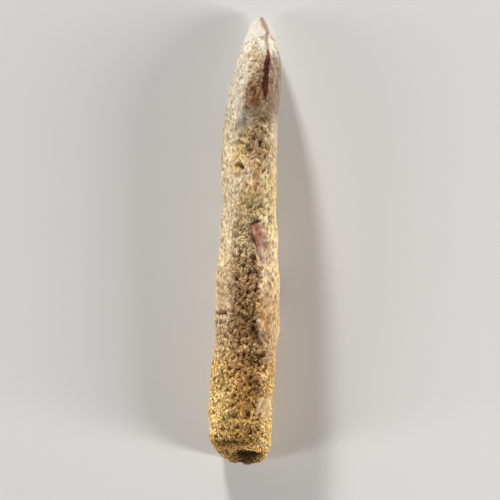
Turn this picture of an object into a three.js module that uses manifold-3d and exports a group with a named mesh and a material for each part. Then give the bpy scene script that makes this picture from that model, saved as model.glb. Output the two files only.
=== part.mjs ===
// A fossil dinosaur tooth lying on its flattened rear face, millimetres, +Z up.
//
// Crown and root grew as one, so the tooth is one solid in one node. Its length runs along Y:
// the crown's tip is at +Y, the broken end of the root at -Y. X is across the tooth and Z is
// its depth, from the flat it rests on up to the front edge with its ridge. The origin is on
// the resting plane, under the middle of the tooth's box.

import * as THREE from 'three';
import { mergeVertices } from 'three/addons/utils/BufferGeometryUtils.js';
import Module from 'manifold-3d';

// ---- Driving dimensions -------------------------------------------------------------------

const toothLength = 58;
const tipY = toothLength / 2;
const columns = 46;           // facets around the tooth
const rows = 102;             // facets along it

// Edges of the tooth seen from above, at stations along its length: y, left x, right x.
// Towards the two ends they are the edges before the ends are closed.
const outline = [
  [-29, -2.05, 3.6],
  [-28, -2.75, 3.75],
  [-27, -3.3, 3.9],
  [-26, -3.9, 4.1],
  [-24.5, -4.1, 4.05],
  [-22, -4.29, 3.99],
  [-18, -4.26, 4.0],
  [-14, -3.95, 4.0],
  [-11, -3.9, 4.27],
  [-6, -4.1, 4.05],
  [-1, -3.87, 3.61],
  [5.5, -3.81, 3.02],
  [9.5, -4.21, 2.84],
  [15.5, -4.1, 2.77],
  [19.5, -3.53, 2.93],
  [23, -2.78, 2.78],
  [26, -2.48, 2.56],
  [29, -2.39, 2.3],
];

// Side profile: y, height of the rear face, height of the front edge. The root's rear face is
// drawn below the resting plane and cut off there, which leaves the flat.
const profile = [
  [-29, -0.2, 8.1],
  [-24, -0.75, 9.4],
  [-16, -0.85, 10.4],
  [-8, -0.8, 11.15],
  [0, -0.75, 11.7],
  [6, -0.5, 11.91],
  [11, -0.05, 11.7],
  [15, 0.35, 11.05],
  [19, 0.6, 9.75],
  [22, 0.65, 8.3],
  [25, 0.55, 6.5],
  [27, 0.45, 5.15],
  [29, 0.35, 3.7],
];

const restPlane = 0;
const widestHeight = 0.47;    // where the section is widest, as a share of its depth
const ridgeOffset = 0.42;     // how far right of centre the front ridge runs, in half widths
const ridgeHeight = 0.3;      // the ridge, or carina, on the crown
const ridgeAngle = 0.2;       // its half width around the section, in radians
const roundKeel = 1.05;       // the root's section is nearly an ellipse,
const sharpKeel = 1.25;       // the crown's rises to a blunt keel under the ridge

// The crown closes to its tip as an ellipse, the root to its broken end more squarely.
const tipRound = 7;
const tipShare = 0.15;        // share of the rows that close the tip
const endRound = 2.6;
const endSquareness = 3.5;    // 2 would be a round end
const endShare = 0.12;
const endY = -29.02;

// The break leans, so the front edge of the root is shorter than its rear wall, and the
// shallow hollow of the pulp cavity shows from above.
const endLean = { slope: 0.3, fromZ: 2.2, fromY: -24.5, toY: -28 };
const pulp = { x: 1.2, z: 5.9, halfWidth: 2.0, halfHeight: 2.5, depth: 1.5 };

// The glued break across the tip: a line that rises from both flanks to an apex beside the
// ridge, falling by so much for each millimetre to the left and to the right of it.
const breakApex = { x: 0.86, y: 26.3 };
const breakFallLeft = 0.47;
const breakFallRight = 1.08;
const breakWidth = 0.24;
const breakDepth = 0.38;

// Hardened sand on the root and the crown's neck, in rounded lumps.
const lumpSize = 1.5;
const lumpHeight = 0.26;
const bareSwell = 0.1;        // slow rise and fall of the bare dentine

// Hollows in the front: x, y, half width, half length, depth, turn in degrees. A negative
// depth stands proud.
const hollows = [
  [1.05, 0.0, 0.9, 2.4, 0.5, -17],     // the scar where the crust has flaked off
  [0.5, -0.9, 0.4, 1.6, 0.35, -33],    // the step along its lower left side
  [-3.1, -9.2, 1.4, 0.4, 0.55, -28],   // the notch in the left edge
  [1.05, -10.8, 0.5, 1.6, 0.35, -38],  // the oblique furrow below the scar
  [-1.9, 9.0, 0.55, 0.45, 0.5, 0],     // the pit with the raised lip
  [-1.9, 8.35, 0.6, 0.3, -0.22, 0],    // its lip
  [-2.05, 11.8, 0.5, 0.45, 0.35, 30],
  [-0.5, 10.9, 0.6, 0.5, 0.4, 0],
  [-0.35, 12.4, 0.45, 0.45, 0.3, 0],
  [1.32, 9.8, 0.35, 0.7, 0.35, 0],
  [1.26, 8.6, 0.5, 0.5, 0.4, 0],
  [2.2, 2.85, 0.8, 0.35, 0.3, 24],
  [2.9, -4.8, 0.9, 0.4, 0.3, 42],
  [2.65, -19.65, 0.7, 1.7, 0.22, 0],   // the smooth oval patch in the sand
  [-1.6, -18.5, 0.5, 0.5, 0.35, 0],
  [-1.3, -22.0, 0.5, 0.5, 0.35, 0],
  [0.9, -21.7, 0.45, 0.45, 0.35, 0],
  [2.26, -21.5, 0.45, 0.45, 0.35, 0],
  [2.2, -22.4, 2.0, 0.4, -0.22, -9],   // the ledge across the root
];

const mergeDistance = 1e-4;
const blockSize = 100;        // larger than the tooth, for cutting

// ---- Helpers ------------------------------------------------------------------------------

// Smooth curve through one column of a table, at y: a Catmull-Rom spline.
function along(table, y, column) {
  let i = 0;
  while (i < table.length - 2 && y > table[i + 1][0]) i += 1;
  const before = table[Math.max(i - 1, 0)];
  const start = table[i];
  const end = table[i + 1];
  const after = table[Math.min(i + 2, table.length - 1)];
  const span = end[0] - start[0];
  const t = THREE.MathUtils.clamp((y - start[0]) / span, 0, 1);
  const leave = (end[column] - before[column]) / (end[0] - before[0]) * span;
  const arrive = (after[column] - start[column]) / (after[0] - start[0]) * span;
  return (2 * t ** 3 - 3 * t ** 2 + 1) * start[column] + (t ** 3 - 2 * t ** 2 + t) * leave
    + (3 * t ** 2 - 2 * t ** 3) * end[column] + (t ** 3 - t ** 2) * arrive;
}

// 0 at from, 1 at to, eased between them; from may be the larger.
function step(from, to, value) {
  const t = THREE.MathUtils.clamp((value - from) / (to - from), 0, 1);
  return t * t * (3 - 2 * t);
}

function bell(distance) {
  return Math.exp(-distance * distance);
}

// A number from 0 to 1 that is always the same for the same cell.
function scatter(cx, cy, cz, salt) {
  const wave = Math.sin(cx * 127.1 + cy * 311.7 + cz * 74.7 + salt * 53.3) * 43758.5453;
  return wave - Math.floor(wave);
}

// Rounded pebbles packed side by side: 1 on top of a pebble, 0 in the gaps.
function pebbles(x, y, z, size) {
  const neighbours = [-1, 0, 1];
  const [px, py, pz] = [x / size, y / size, z / size];
  let nearest = Infinity;
  for (const i of neighbours) {
    for (const j of neighbours) {
      for (const k of neighbours) {
        const [cx, cy, cz] = [Math.floor(px) + i, Math.floor(py) + j, Math.floor(pz) + k];
        const distance = Math.hypot(
          cx + scatter(cx, cy, cz, 1) - px,
          cy + scatter(cx, cy, cz, 2) - py,
          cz + scatter(cx, cy, cz, 3) - pz,
        );
        nearest = Math.min(nearest, distance);
      }
    }
  }
  return THREE.MathUtils.clamp(1 - 1.6 * nearest * nearest, 0, 1);
}

// ---- The form -----------------------------------------------------------------------------

// How thick the crust of sand is, 0 bare to 1 full, at a place and an angle of the section.
function crustAt(x, y, angle) {
  const front = Math.max(Math.sin(angle), 0);
  const rear = Math.max(-Math.sin(angle), 0);
  const betweenFlanks = step(-3.2, -2.0, x) * step(2.8, 1.6, x);
  const band = front * betweenFlanks;
  const neck = 0.6 * step(15.5, 12, y) * step(4, 9, y);
  const rootEnd = 0.75 * step(-13, -17, y);
  return Math.max(band, neck, rootEnd, 0.6 * rear, 0.12) * step(18, 13, y);
}

// Height of the relief above the plain form.
function reliefAt(x, y, z, angle) {
  const crust = crustAt(x, y, angle);
  let height = lumpHeight * crust * (pebbles(x, y, z, lumpSize) - 0.5);
  height += bareSwell * (1 - crust) * Math.sin(1.1 * y + 2 * Math.sin(angle)) * step(20, 10, y);
  const fromRidge = (angle - Math.PI / 2) / ridgeAngle;
  height += ridgeHeight * bell(fromRidge) * step(8, 19, y) * step(29, 26, y);
  const onFront = step(0, 0.35, Math.sin(angle));
  for (const [hx, hy, halfWidth, halfLength, depth, degrees] of hollows) {
    const turn = THREE.MathUtils.degToRad(degrees);
    const across = (x - hx) * Math.cos(turn) - (y - hy) * Math.sin(turn);
    const lengthwise = (x - hx) * Math.sin(turn) + (y - hy) * Math.cos(turn);
    height -= depth * onFront * bell(Math.hypot(across / halfWidth, lengthwise / halfLength));
  }
  return height;
}

// A ring of the tooth by its share of the length: where it lies, how far the section has
// closed there (1 is open, 0 is the end's point), and how much its surface faces along Y.
function ringAt(share) {
  if (share < endShare) {
    const turn = share / endShare * Math.PI / 2;
    const power = 2 / endSquareness;
    return {
      y: endY + endRound * (1 - Math.cos(turn) ** power),
      open: Math.sin(turn) ** power,
      facing: -Math.cos(turn),
    };
  }
  if (share > 1 - tipShare) {
    const turn = (1 - share) / tipShare * Math.PI / 2;
    return {
      y: tipY - tipRound * (1 - Math.cos(turn)),
      open: Math.sin(turn),
      facing: Math.cos(turn),
    };
  }
  const middle = (share - endShare) / (1 - endShare - tipShare);
  return {
    y: THREE.MathUtils.lerp(endY + endRound, tipY - tipRound, middle),
    open: 1,
    facing: 0,
  };
}

// The point of the surface on a ring, at an angle around the section: 0 is the right flank
// and a quarter turn is the front. It lies inset below the surface.
function surfacePoint(ring, angle, inset) {
  const left = along(outline, ring.y, 1);
  const right = along(outline, ring.y, 2);
  const rear = along(profile, ring.y, 1);
  const front = along(profile, ring.y, 2);
  const widest = THREE.MathUtils.lerp(rear, front, widestHeight);
  const cos = Math.cos(angle);
  const sin = Math.sin(angle);
  const halfWidth = (right - left) / 2 * ring.open;
  const depth = (sin > 0 ? front - widest : widest - rear) * ring.open;
  const keel = THREE.MathUtils.lerp(roundKeel, sharpKeel, step(2, 20, ring.y));
  const point = new THREE.Vector3(
    (left + right) / 2 + halfWidth * (cos + ridgeOffset * Math.max(sin, 0) ** 2),
    ring.y,
    widest + depth * Math.sign(sin) * Math.abs(sin) ** keel,
  );
  const outward = new THREE.Vector3(cos / (right - left), 0, sin / (front - rear)).normalize();
  outward.multiplyScalar(Math.sqrt(1 - ring.facing ** 2));
  outward.y = ring.facing;
  const height = reliefAt(point.x, point.y, point.z, angle) - inset;
  return point.addScaledVector(outward, height * step(0, 0.3, ring.open));
}

// Leans the broken end and sinks the hollow of the pulp cavity into it.
function shapeEnd(point, ring) {
  const nearEnd = step(endLean.fromY, endLean.toY, point.y);
  point.y += endLean.slope * Math.max(point.z - endLean.fromZ, 0) * nearEnd;
  const fromPulp = Math.hypot(
    (point.x - pulp.x) / pulp.halfWidth,
    (point.z - pulp.z) / pulp.halfHeight,
  );
  point.y += pulp.depth * bell(fromPulp ** 2) * Math.max(-ring.facing, 0);
  return point;
}

// The whole tooth, sunk below its surface by insetAt(angle).
function toothForm(insetAt) {
  const ball = new THREE.SphereGeometry(1, columns, rows);
  const grid = ball.getAttribute('uv');
  const places = new Float32Array(grid.count * 3);
  for (let i = 0; i < grid.count; i += 1) {
    const ring = ringAt(THREE.MathUtils.clamp(grid.getY(i), 0, 1));
    const angle = ring.open > 0 ? Math.PI * (1 - 2 * (grid.getX(i) % 1)) : 0;
    shapeEnd(surfacePoint(ring, angle, insetAt(angle)), ring).toArray(places, 3 * i);
  }
  const form = new THREE.BufferGeometry();
  form.setAttribute('position', new THREE.BufferAttribute(places, 3));
  form.setIndex(ball.getIndex());
  return form;
}

// ---- The solid ----------------------------------------------------------------------------

const wasm = await Module();
wasm.setup();

function solidOf(geometry) {
  const bare = geometry.clone();
  bare.deleteAttribute('normal');
  bare.deleteAttribute('uv');
  const merged = mergeVertices(bare, mergeDistance);
  return new wasm.Manifold(new wasm.Mesh({
    numProp: 3,
    vertProperties: new Float32Array(merged.getAttribute('position').array),
    triVerts: new Uint32Array(merged.getIndex().array),
  }));
}

function geometryOf(solid) {
  const mesh = solid.getMesh();
  const geometry = new THREE.BufferGeometry();
  geometry.setAttribute('position', new THREE.BufferAttribute(mesh.vertProperties, 3));
  geometry.setIndex(new THREE.BufferAttribute(mesh.triVerts, 1));
  geometry.computeVertexNormals();
  return geometry;
}

// Everything below the resting plane.
function groundCutter() {
  const block = new THREE.BoxGeometry(blockSize, blockSize, blockSize);
  block.translate(0, 0, restPlane - blockSize / 2);
  return solidOf(block);
}

// A thin upright wall along the break's line, less the inside of the tooth. What is left cuts
// the groove of the glued break, open on the right flank and fading towards the left.
function breakCutter() {
  const reach = blockSize / 2;
  const line = [
    new THREE.Vector2(breakApex.x - reach, breakApex.y - breakFallLeft * reach),
    new THREE.Vector2(breakApex.x, breakApex.y),
    new THREE.Vector2(breakApex.x + reach, breakApex.y - breakFallRight * reach),
  ];
  const lowerLine = line.map((place) => new THREE.Vector2(place.x, place.y - breakWidth));
  const wall = new THREE.ExtrudeGeometry(new THREE.Shape([...line, ...lowerLine.reverse()]), {
    depth: blockSize,
    bevelEnabled: false,
  });
  wall.translate(0, 0, -reach);
  const depthAt = (angle) => breakDepth * (0.55 + 0.45 * Math.cos(angle));
  return solidOf(wall).subtract(solidOf(toothForm(depthAt)));
}

const toothSolid = solidOf(toothForm(() => 0))
  .subtract(breakCutter())
  .subtract(groundCutter());

const tooth = new THREE.Mesh(geometryOf(toothSolid), new THREE.MeshStandardMaterial({
  color: 0xb09a78,
  roughness: 0.8,
  metalness: 0,
}));
tooth.name = 'tooth';

const part = new THREE.Group();
part.add(tooth);

export default part;
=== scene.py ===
# %% [markdown]
# # A fossil dinosaur tooth, crusted with desert sand
#
# The tooth is one natural piece, 58 mm long: a worn crown with a ridge, its tip once broken and
# glued, and a long root under a skin of hardened sand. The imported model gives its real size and
# place. This lesson gives it its fine surface. It models the same form again on a much finer
# grid, adds the grain, pits and cracks as real relief, glues on loose sand grains with Geometry
# Nodes, and paints everything with procedural materials that read masks stored on the mesh.

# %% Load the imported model
import math
from functools import partial
from itertools import product

import bpy
import numpy as np
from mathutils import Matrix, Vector


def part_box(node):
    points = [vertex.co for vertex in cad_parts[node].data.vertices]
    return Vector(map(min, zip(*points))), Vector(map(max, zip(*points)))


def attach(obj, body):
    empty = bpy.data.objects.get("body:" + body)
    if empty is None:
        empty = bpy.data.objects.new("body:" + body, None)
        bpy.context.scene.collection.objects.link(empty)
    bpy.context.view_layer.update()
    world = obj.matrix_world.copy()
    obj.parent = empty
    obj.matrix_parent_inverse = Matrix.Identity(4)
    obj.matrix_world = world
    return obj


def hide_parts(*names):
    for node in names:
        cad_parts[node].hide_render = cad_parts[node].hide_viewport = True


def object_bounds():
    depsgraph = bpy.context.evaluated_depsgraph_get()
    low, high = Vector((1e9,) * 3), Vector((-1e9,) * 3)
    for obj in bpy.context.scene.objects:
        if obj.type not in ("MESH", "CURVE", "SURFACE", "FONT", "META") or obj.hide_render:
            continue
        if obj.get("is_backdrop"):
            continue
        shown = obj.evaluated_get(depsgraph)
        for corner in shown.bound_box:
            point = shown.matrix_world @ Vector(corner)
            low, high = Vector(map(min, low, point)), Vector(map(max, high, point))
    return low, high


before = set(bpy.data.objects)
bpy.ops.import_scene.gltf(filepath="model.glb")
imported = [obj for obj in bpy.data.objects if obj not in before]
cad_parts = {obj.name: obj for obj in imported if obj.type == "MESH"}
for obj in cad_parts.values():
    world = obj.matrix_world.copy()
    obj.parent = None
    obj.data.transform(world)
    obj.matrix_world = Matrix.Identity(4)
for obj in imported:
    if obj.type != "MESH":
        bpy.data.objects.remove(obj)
cad_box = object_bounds()
tooth_low, tooth_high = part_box("tooth")
MM = 0.001
tip_y = tooth_high.y / MM
print("tooth box in mm:", [round(v / MM, 2) for v in (*tooth_low, *tooth_high)])

# %% [markdown]
# ## The camera
#
# The tooth lies on a table and the camera looks straight down on its front edge, from about 18 cm
# above the table. A long lens keeps the outline nearly free of perspective. The camera is rolled
# a little, because the tooth doesn't lie square to it.

# %% Camera
lens_mm = 100.0
sensor_mm = 36.0
view_width_mm = 63.8
camera_roll = math.radians(2.95)
focus_height_mm = 4.5
view_centre_mm = (0.05, -1.19)
camera_data = bpy.data.cameras.new("overhead camera")
camera_data.lens = lens_mm
camera_data.sensor_width = sensor_mm
camera_data.clip_start = 0.01
camera = bpy.data.objects.new("overhead camera", camera_data)
camera_height = (view_width_mm * lens_mm / sensor_mm + focus_height_mm) * MM
camera.location = (view_centre_mm[0] * MM, view_centre_mm[1] * MM, camera_height)
camera.rotation_euler = (0.0, 0.0, camera_roll)
bpy.context.scene.collection.objects.link(camera)
bpy.context.scene.camera = camera
print("camera height in mm:", round(camera_height / MM, 1))

# %% [markdown]
# ## The plain form
#
# The form is a stack of closed rings. Each ring takes its left and right edges from the outline
# seen from above and its top and bottom from the side profile, and both are smooth curves
# through a few stations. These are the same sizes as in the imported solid. A sculpted mesh could
# give the same form, but stations can be measured and moved one at a time.

# %% Stations of the outline and the profile, in millimetres
outline = np.array([
    # y, left edge, right edge
    [-29, -2.05, 3.6], [-28, -2.75, 3.75], [-27, -3.3, 3.9], [-26, -3.9, 4.1],
    [-24.5, -4.1, 4.05], [-22, -4.29, 3.99], [-18, -4.26, 4], [-14, -3.95, 4],
    [-11, -3.9, 4.27], [-6, -4.1, 4.05], [-1, -3.87, 3.61], [5.5, -3.81, 3.02],
    [9.5, -4.21, 2.84], [15.5, -4.1, 2.77], [19.5, -3.53, 2.93], [23, -2.78, 2.78],
    [26, -2.48, 2.56], [29, -2.39, 2.3],
])
profile = np.array([
    # y, height of the rear face, height of the front edge
    [-29, -0.2, 8.1], [-24, -0.75, 9.4], [-16, -0.85, 10.4], [-8, -0.8, 11.15], [0, -0.75, 11.7],
    [6, -0.5, 11.91], [11, -0.05, 11.7], [15, 0.35, 11.05], [19, 0.6, 9.75], [22, 0.65, 8.3],
    [25, 0.55, 6.5], [27, 0.45, 5.15], [29, 0.35, 3.7],
])
print("stations:", len(outline), "of the outline,", len(profile), "of the profile")

# %% Sizes of the section and of both ends
widest_height = 0.47
ridge_offset = 0.42
ridge_height = 0.3
ridge_angle = 0.2
round_keel = 1.05
sharp_keel = 1.25
tip_round = 7.0
end_round = 2.6
end_squareness = 3.5
end_y = -29.02
end_lean = {"slope": 0.3, "from_z": 2.2, "from_y": -24.5, "to_y": -28.0}
pulp = {"x": 1.2, "z": 5.9, "half_width": 2.0, "half_height": 2.2, "depth": 1.1}

# %% A smooth curve through stations
def along(table, y, column):
    """A Catmull-Rom spline through one column of a table, at each y."""
    last = len(table) - 1
    i = np.clip(np.searchsorted(table[:, 0], y, side="left") - 1, 0, last - 1)
    before, after = np.maximum(i - 1, 0), np.minimum(i + 2, last)
    stations, values = table[:, 0], table[:, column]
    span = stations[i + 1] - stations[i]
    t = np.clip((y - stations[i]) / span, 0, 1)
    leave = (values[i + 1] - values[before]) / (stations[i + 1] - stations[before]) * span
    arrive = (values[after] - values[i]) / (stations[after] - stations[i]) * span
    return (
        (2 * t**3 - 3 * t**2 + 1) * values[i]
        + (t**3 - 2 * t**2 + t) * leave
        + (3 * t**2 - 2 * t**3) * values[i + 1]
        + (t**3 - t**2) * arrive
    )


print("edges in the middle, in mm:", [along(outline, 0.0, n).round(2) for n in (1, 2)])


# %% Easing, blending and turning
def eased(start, end, value):
    """0 at start, 1 at end, smooth between; start may be the larger."""
    t = np.clip((value - start) / (end - start), 0, 1)
    return t * t * (3 - 2 * t)


def bell(distance):
    return np.exp(-distance * distance)


def blend(a, b, share):
    return a + (b - a) * share


def rotated(x, y, degrees):
    turn = math.radians(degrees)
    return x * math.cos(turn) - y * math.sin(turn), x * math.sin(turn) + y * math.cos(turn)


# %% A print of what a step made
def show(label, grid):
    """Prints the least, the mean and the greatest of a grid of points."""
    print(label + ":", *(f(grid, axis=(0, 1)).round(2) for f in (np.min, np.mean, np.max)))


# %% Rings along the tooth
end_rings = 38
middle_spacing = 0.14
tip_rings = 104
end_turn = np.linspace(0, math.pi / 2, end_rings, endpoint=False)
tip_turn = np.linspace(math.pi / 2, 0, tip_rings + 1)
middle_from, middle_to = end_y + end_round, tip_y - tip_round
middle_rings = int(round((middle_to - middle_from) / middle_spacing))
end_power = 2 / end_squareness
cap_cos = np.cos(end_turn) ** end_power
cap_sin = np.sin(end_turn) ** end_power
ring_y = np.concatenate([
    end_y + end_round * (1 - cap_cos),
    np.linspace(middle_from, middle_to, middle_rings, endpoint=False),
    tip_y - tip_round * (1 - np.cos(tip_turn)),
])
ring_open = np.concatenate([cap_sin, np.ones(middle_rings), np.sin(tip_turn)])
ring_facing = np.concatenate([-np.cos(end_turn), np.zeros(middle_rings), np.cos(tip_turn)])
columns = 198
front_gain = 0.3
even_angle = np.linspace(0, 2 * math.pi, columns, endpoint=False) - math.pi / 2
column_angle = even_angle + front_gain * np.cos(even_angle)
print("rings:", len(ring_y), "columns:", columns)

# %% The plain surface, one row of points for each ring
Y, OPEN, FACING = (
    np.repeat(ring[:, None], columns, axis=1) for ring in (ring_y, ring_open, ring_facing)
)
ANGLE = np.repeat(column_angle[None, :], len(ring_y), axis=0)
left, right = along(outline, Y, 1), along(outline, Y, 2)
rear, front = along(profile, Y, 1), along(profile, Y, 2)
widest = blend(rear, front, widest_height)
sin, cos = np.sin(ANGLE), np.cos(ANGLE)
half_width = (right - left) / 2 * OPEN
half_depth = np.where(sin > 0, front - widest, widest - rear) * OPEN
keel = blend(round_keel, sharp_keel, eased(2, 20, Y))
X = (left + right) / 2 + half_width * (cos + ridge_offset * np.maximum(sin, 0) ** 2)
Z = widest + half_depth * np.sign(sin) * np.abs(sin) ** keel
out_x, out_z = cos / (right - left), sin / (front - rear)
out_length = np.hypot(out_x, out_z)
radial = np.sqrt(1 - FACING**2)
outward = np.stack([out_x / out_length * radial, FACING, out_z / out_length * radial], -1)
plain = np.stack([X, Y, Z], -1)
ON_FRONT = eased(0, 0.35, sin)
show("plain form in mm", plain)

# %% [markdown]
# ## Noise that is always the same
#
# Sand crust is packed pebbles, and old dentine is soft rolling ground. Both come from one small
# recipe: a number for each cell of space that depends on nothing but the cell. Blender's
# Displace modifier could add noise too, but here each mask can steer the noise, and the pebbles
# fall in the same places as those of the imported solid.

# %% Pebbles packed side by side
def cell_number(cell, salt):
    """A number from 0 to 1 that looks like chance and depends only on the cell and the salt."""
    x, y, z = cell[..., 0], cell[..., 1], cell[..., 2]
    wave = np.sin(x * 127.1 + y * 311.7 + z * 74.7 + salt * 53.3) * 43758.5453
    return wave - np.floor(wave)


def pebbles(points, size, salt=0):
    """1 on top of a rounded pebble, 0 in the gaps between pebbles."""
    place, steepness = points / size, 1.6
    cell = np.floor(place)
    nearest = np.full(points.shape[:-1], np.inf)
    for step in product((-1, 0, 1), repeat=3):
        neighbour = cell + step
        spot = [cell_number(neighbour, salt + n) for n in (1, 2, 3)]
        gap = neighbour + np.stack(spot, -1) - place
        nearest = np.minimum(nearest, np.sqrt((gap**2).sum(-1)))
    return np.clip(1 - steepness * nearest**2, 0, 1)


# %% Rolling noise
def rolling(points, size, salt=0):
    """Soft hills and dips from 0 to 1."""
    place = points / size
    cell = np.floor(place)
    t = place - cell
    t = t * t * (3 - 2 * t)
    total = 0
    for corner in product((0, 1), repeat=3):
        share = np.ones(points.shape[:-1])
        for axis, far in enumerate(corner):
            share = share * (t[..., axis] if far else 1 - t[..., axis])
        total = total + share * cell_number(cell + corner, salt + 7)
    return total


def rugged(points, size, salt=0, layers=3):
    """Rolling noise with finer rolling noise on it, from 0 to 1."""
    total, weight = 0, 0
    for layer in range(layers):
        share = 0.5**layer
        total = total + share * rolling(points, size * share, salt + 11 * layer)
        weight += share
    return total / weight


# %% [markdown]
# ## Where sand, enamel and bare dentine lie
#
# The finish of the tooth changes from place to place: glossy enamel on the tip, a dark red
# stripe beside the ridge, dusty dentine on the flanks, hardened sand down the middle and all
# over the root. Each of these is a mask, a number from 0 to 1 at each point. The masks could be
# painted by hand, but a few named places and sizes can be checked and moved. Noise shifts their
# edges, because nothing in a fossil has a ruled edge, and the sand thins out slowly.

# %% Patches with ragged edges
# Broad noise is turned, so that no broad patch has an edge along an axis.
TILTED = np.array([[0.80, 0.36, -0.48], [-0.60, 0.48, -0.64], [0.0, 0.80, 0.60]])
ragged_broad = rugged(plain @ TILTED, 3.0, salt=19, layers=4) - 0.5
ragged = rugged(plain, 0.9, salt=20) - 0.5
ragged_fine = rugged(plain, 0.35, salt=21) - 0.5
ragged_edge = ragged + 0.6 * ragged_fine
show("wander of the edges, as a share", ragged_edge)


# %% Ovals and strips
def turned(x, y, half_across, half_along, degrees):
    """Distance from a place seen from above, as a share of an oval's half sizes."""
    across, lengthwise = rotated(X - x, Y - y, degrees)
    return np.hypot(across / half_across, lengthwise / half_along)


def dip(x, y, half_across, half_along, degrees, wander=0.0):
    """1 in the middle of an oval hollow on the front, falling off like a bell."""
    reach = turned(x, y, half_across, half_along, degrees) + wander * ragged_fine
    return ON_FRONT * bell(reach)


def patch(x, y, half_across, half_along, degrees=0, edge=0.8, wander=0.9):
    """An oval on the front, turned by some degrees, with an edge that wanders."""
    reach = turned(x, y, half_across, half_along, degrees) + wander * ragged_edge
    return eased(1 + edge, 1 - edge, reach) * ON_FRONT


def between(edges, soft_left, soft_right, wander):
    """A strip on the front whose left and right edges are given along the tooth."""
    shifted = X + wander * ragged_edge
    from_left = eased(-soft_left, soft_left, shifted - along(edges, Y, 1))
    from_right = eased(soft_right, -soft_right, shifted - along(edges, Y, 2))
    return from_left * from_right * ON_FRONT


def most(*masks):
    return np.clip(np.maximum.reduce(masks), 0, 1)


# %% Thickness of the hardened sand
def crust_of_the_solid():
    """The broad layout of the crust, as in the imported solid."""
    front_share, rear_share = np.maximum(sin, 0), np.maximum(-sin, 0)
    between_flanks = eased(-3.2, -2.0, X) * eased(2.8, 1.6, X)
    neck = 0.6 * eased(15.5, 12, Y) * eased(4, 9, Y)
    root_end = 0.75 * eased(-13, -17, Y)
    masks = [front_share * between_flanks, neck, root_end, 0.6 * rear_share]
    return np.maximum(np.maximum.reduce(masks), 0.12) * eased(18, 13, Y)


crust_edges = np.array([
    # y, left edge, right edge, thickness
    [-29, -9, 9, 1], [-24, -9, 9, 1], [-21.5, -9, 5.4, 1], [-19, -9, 4.2, 1],
    [-16.5, -9, 3.4, 1], [-14, -6, 2.6, 1], [-12, -5, 2, 1],
    [-10.6, -4.6, 1.7, 1], [-9.2, -2.5, 1.5, 1], [-6, -2.25, 1.5, 1], [-3, -2.2, 1.3, 0.95],
    [-1, -2.1, 0.5, 0.9], [1, -2.1, 0.1, 0.85], [3, -2, 1.9, 0.66], [4.5, -1.9, 1.7, 0.55],
    [6, -1.6, 1.7, 0.38], [7.5, -0.9, 1.1, 0.3], [9, -1, 1.5, 0.4], [10, -1.3, 1.8, 0.45],
    [11.2, -2.4, 1.7, 0.68], [12.3, -2.5, 1.5, 0.66], [13.3, -1.4, 1.9, 0.62],
    [15, -1, 1.6, 0.58], [16.5, -0.9, 1, 0.5], [18, -1.2, 0.95, 0.64], [20, -1.1, 1, 0.62],
    [22, -1.25, 1.1, 0.6], [24, -1.4, 0.7, 0.5], [25.2, -1.4, 0.2, 0.1], [29, -1, 0.2, 0],
])
broad_crust = crust_of_the_solid()
show("crust of the solid", broad_crust)

# %% The scar, the smooth places and the patches of sand
front_band = along(crust_edges, Y, 3) * between(crust_edges, 0.6, 0.6, 1.5)
golden = eased(-13.5, -18.5, Y + 0.45 * X + 7.0 * ragged_broad + 1.5 * ragged)
rear_patches = 0.8 * eased(0.0, 0.22, ragged_broad + 0.4 * ragged)
rear_patches = rear_patches * (1 - ON_FRONT) * eased(18, 10, Y)
dusting = 0.22 * eased(24, 14, Y)
scar_edges = np.array([
    # y, left edge, right edge
    [-29, 1.6, 1.5], [-3.7, 1.6, 1.5], [-3.1, 1.42, 1.75], [-2.4, 1.14, 2], [-1.6, 0.74, 2.15],
    [-0.8, 0.36, 2.2], [0, -0.02, 2.1], [1, -0.14, 1.85], [1.6, -0.14, 1.55],
    [2.1, 0, 1.25], [2.45, 0.6, 0.5], [29, 0.6, 0.5],
])
scar = between(scar_edges, 0.1, 0.45, 0.3)
oval = patch(2.85, -20.65, 1, 1.5, -4, 0.4, 0.3)
smooth_flank = patch(2.8, -7, 1.1, 4, 0, 0.5)
left_dapple = 0.42 * patch(-3.3, -6.2, 1.4, 3.4, 0, 0.7)
notch_crust = 0.85 * patch(-3.1, -9.7, 1.3, 0.9, -20, 0.6)
neck_crust = 0.5 * patch(-1.9, 9.8, 1.1, 2.8, 12)
right_crust = 0.6 * patch(3.2, -15.4, 1.4, 3, 0, 0.7)
flake_plate = patch(0.15, -1.75, 0.75, 0.5, 8, 0.4, 0.4) * (1 - scar)
sand = most(front_band, golden, left_dapple, notch_crust, neck_crust, right_crust, rear_patches)
sand = sand + 0.3 * ragged * eased(0.05, 0.3, sand)
sand = np.clip(np.maximum(sand, dusting), 0, 1) * (1 - 0.95 * scar) * (1 - 0.9 * oval)
show("thickness of the sand", sand)

# %% Enamel
stripe_line = np.array([
    # y, middle x, half width of the stripe
    [16.9, 1, 0.03], [17.8, 0.98, 0.18], [18.5, 0.93, 0.35], [19.3, 0.88, 0.42],
    [20.5, 0.86, 0.43], [21.5, 0.9, 0.41], [22.5, 1, 0.35], [23.3, 1.07, 0.25],
    [24, 1, 0.18], [24.7, 0.88, 0.19], [25.7, 0.74, 0.22], [26.2, 0.72, 0.2],
    [26.6, 0.8, 0.24], [27.5, 0.45, 0.33], [28.3, 0.15, 0.32], [28.9, 0, 0.2],
])
stripe_middle, thinnest = along(stripe_line, Y, 1), 0.03
left_of_stripe = X < stripe_middle
stripe_reach = np.abs(X - stripe_middle) / np.maximum(along(stripe_line, Y, 2), thinnest)
stripe_wear = np.where(left_of_stripe, 1.1, 0.6) * blend(0.5, 1.0, eased(25, 22, Y))
stripe_reach = stripe_reach + stripe_wear * (ragged + ragged_fine)
stripe = eased(1.7, 0.2, stripe_reach) * ON_FRONT * eased(16.8, 18.4, Y)
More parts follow.
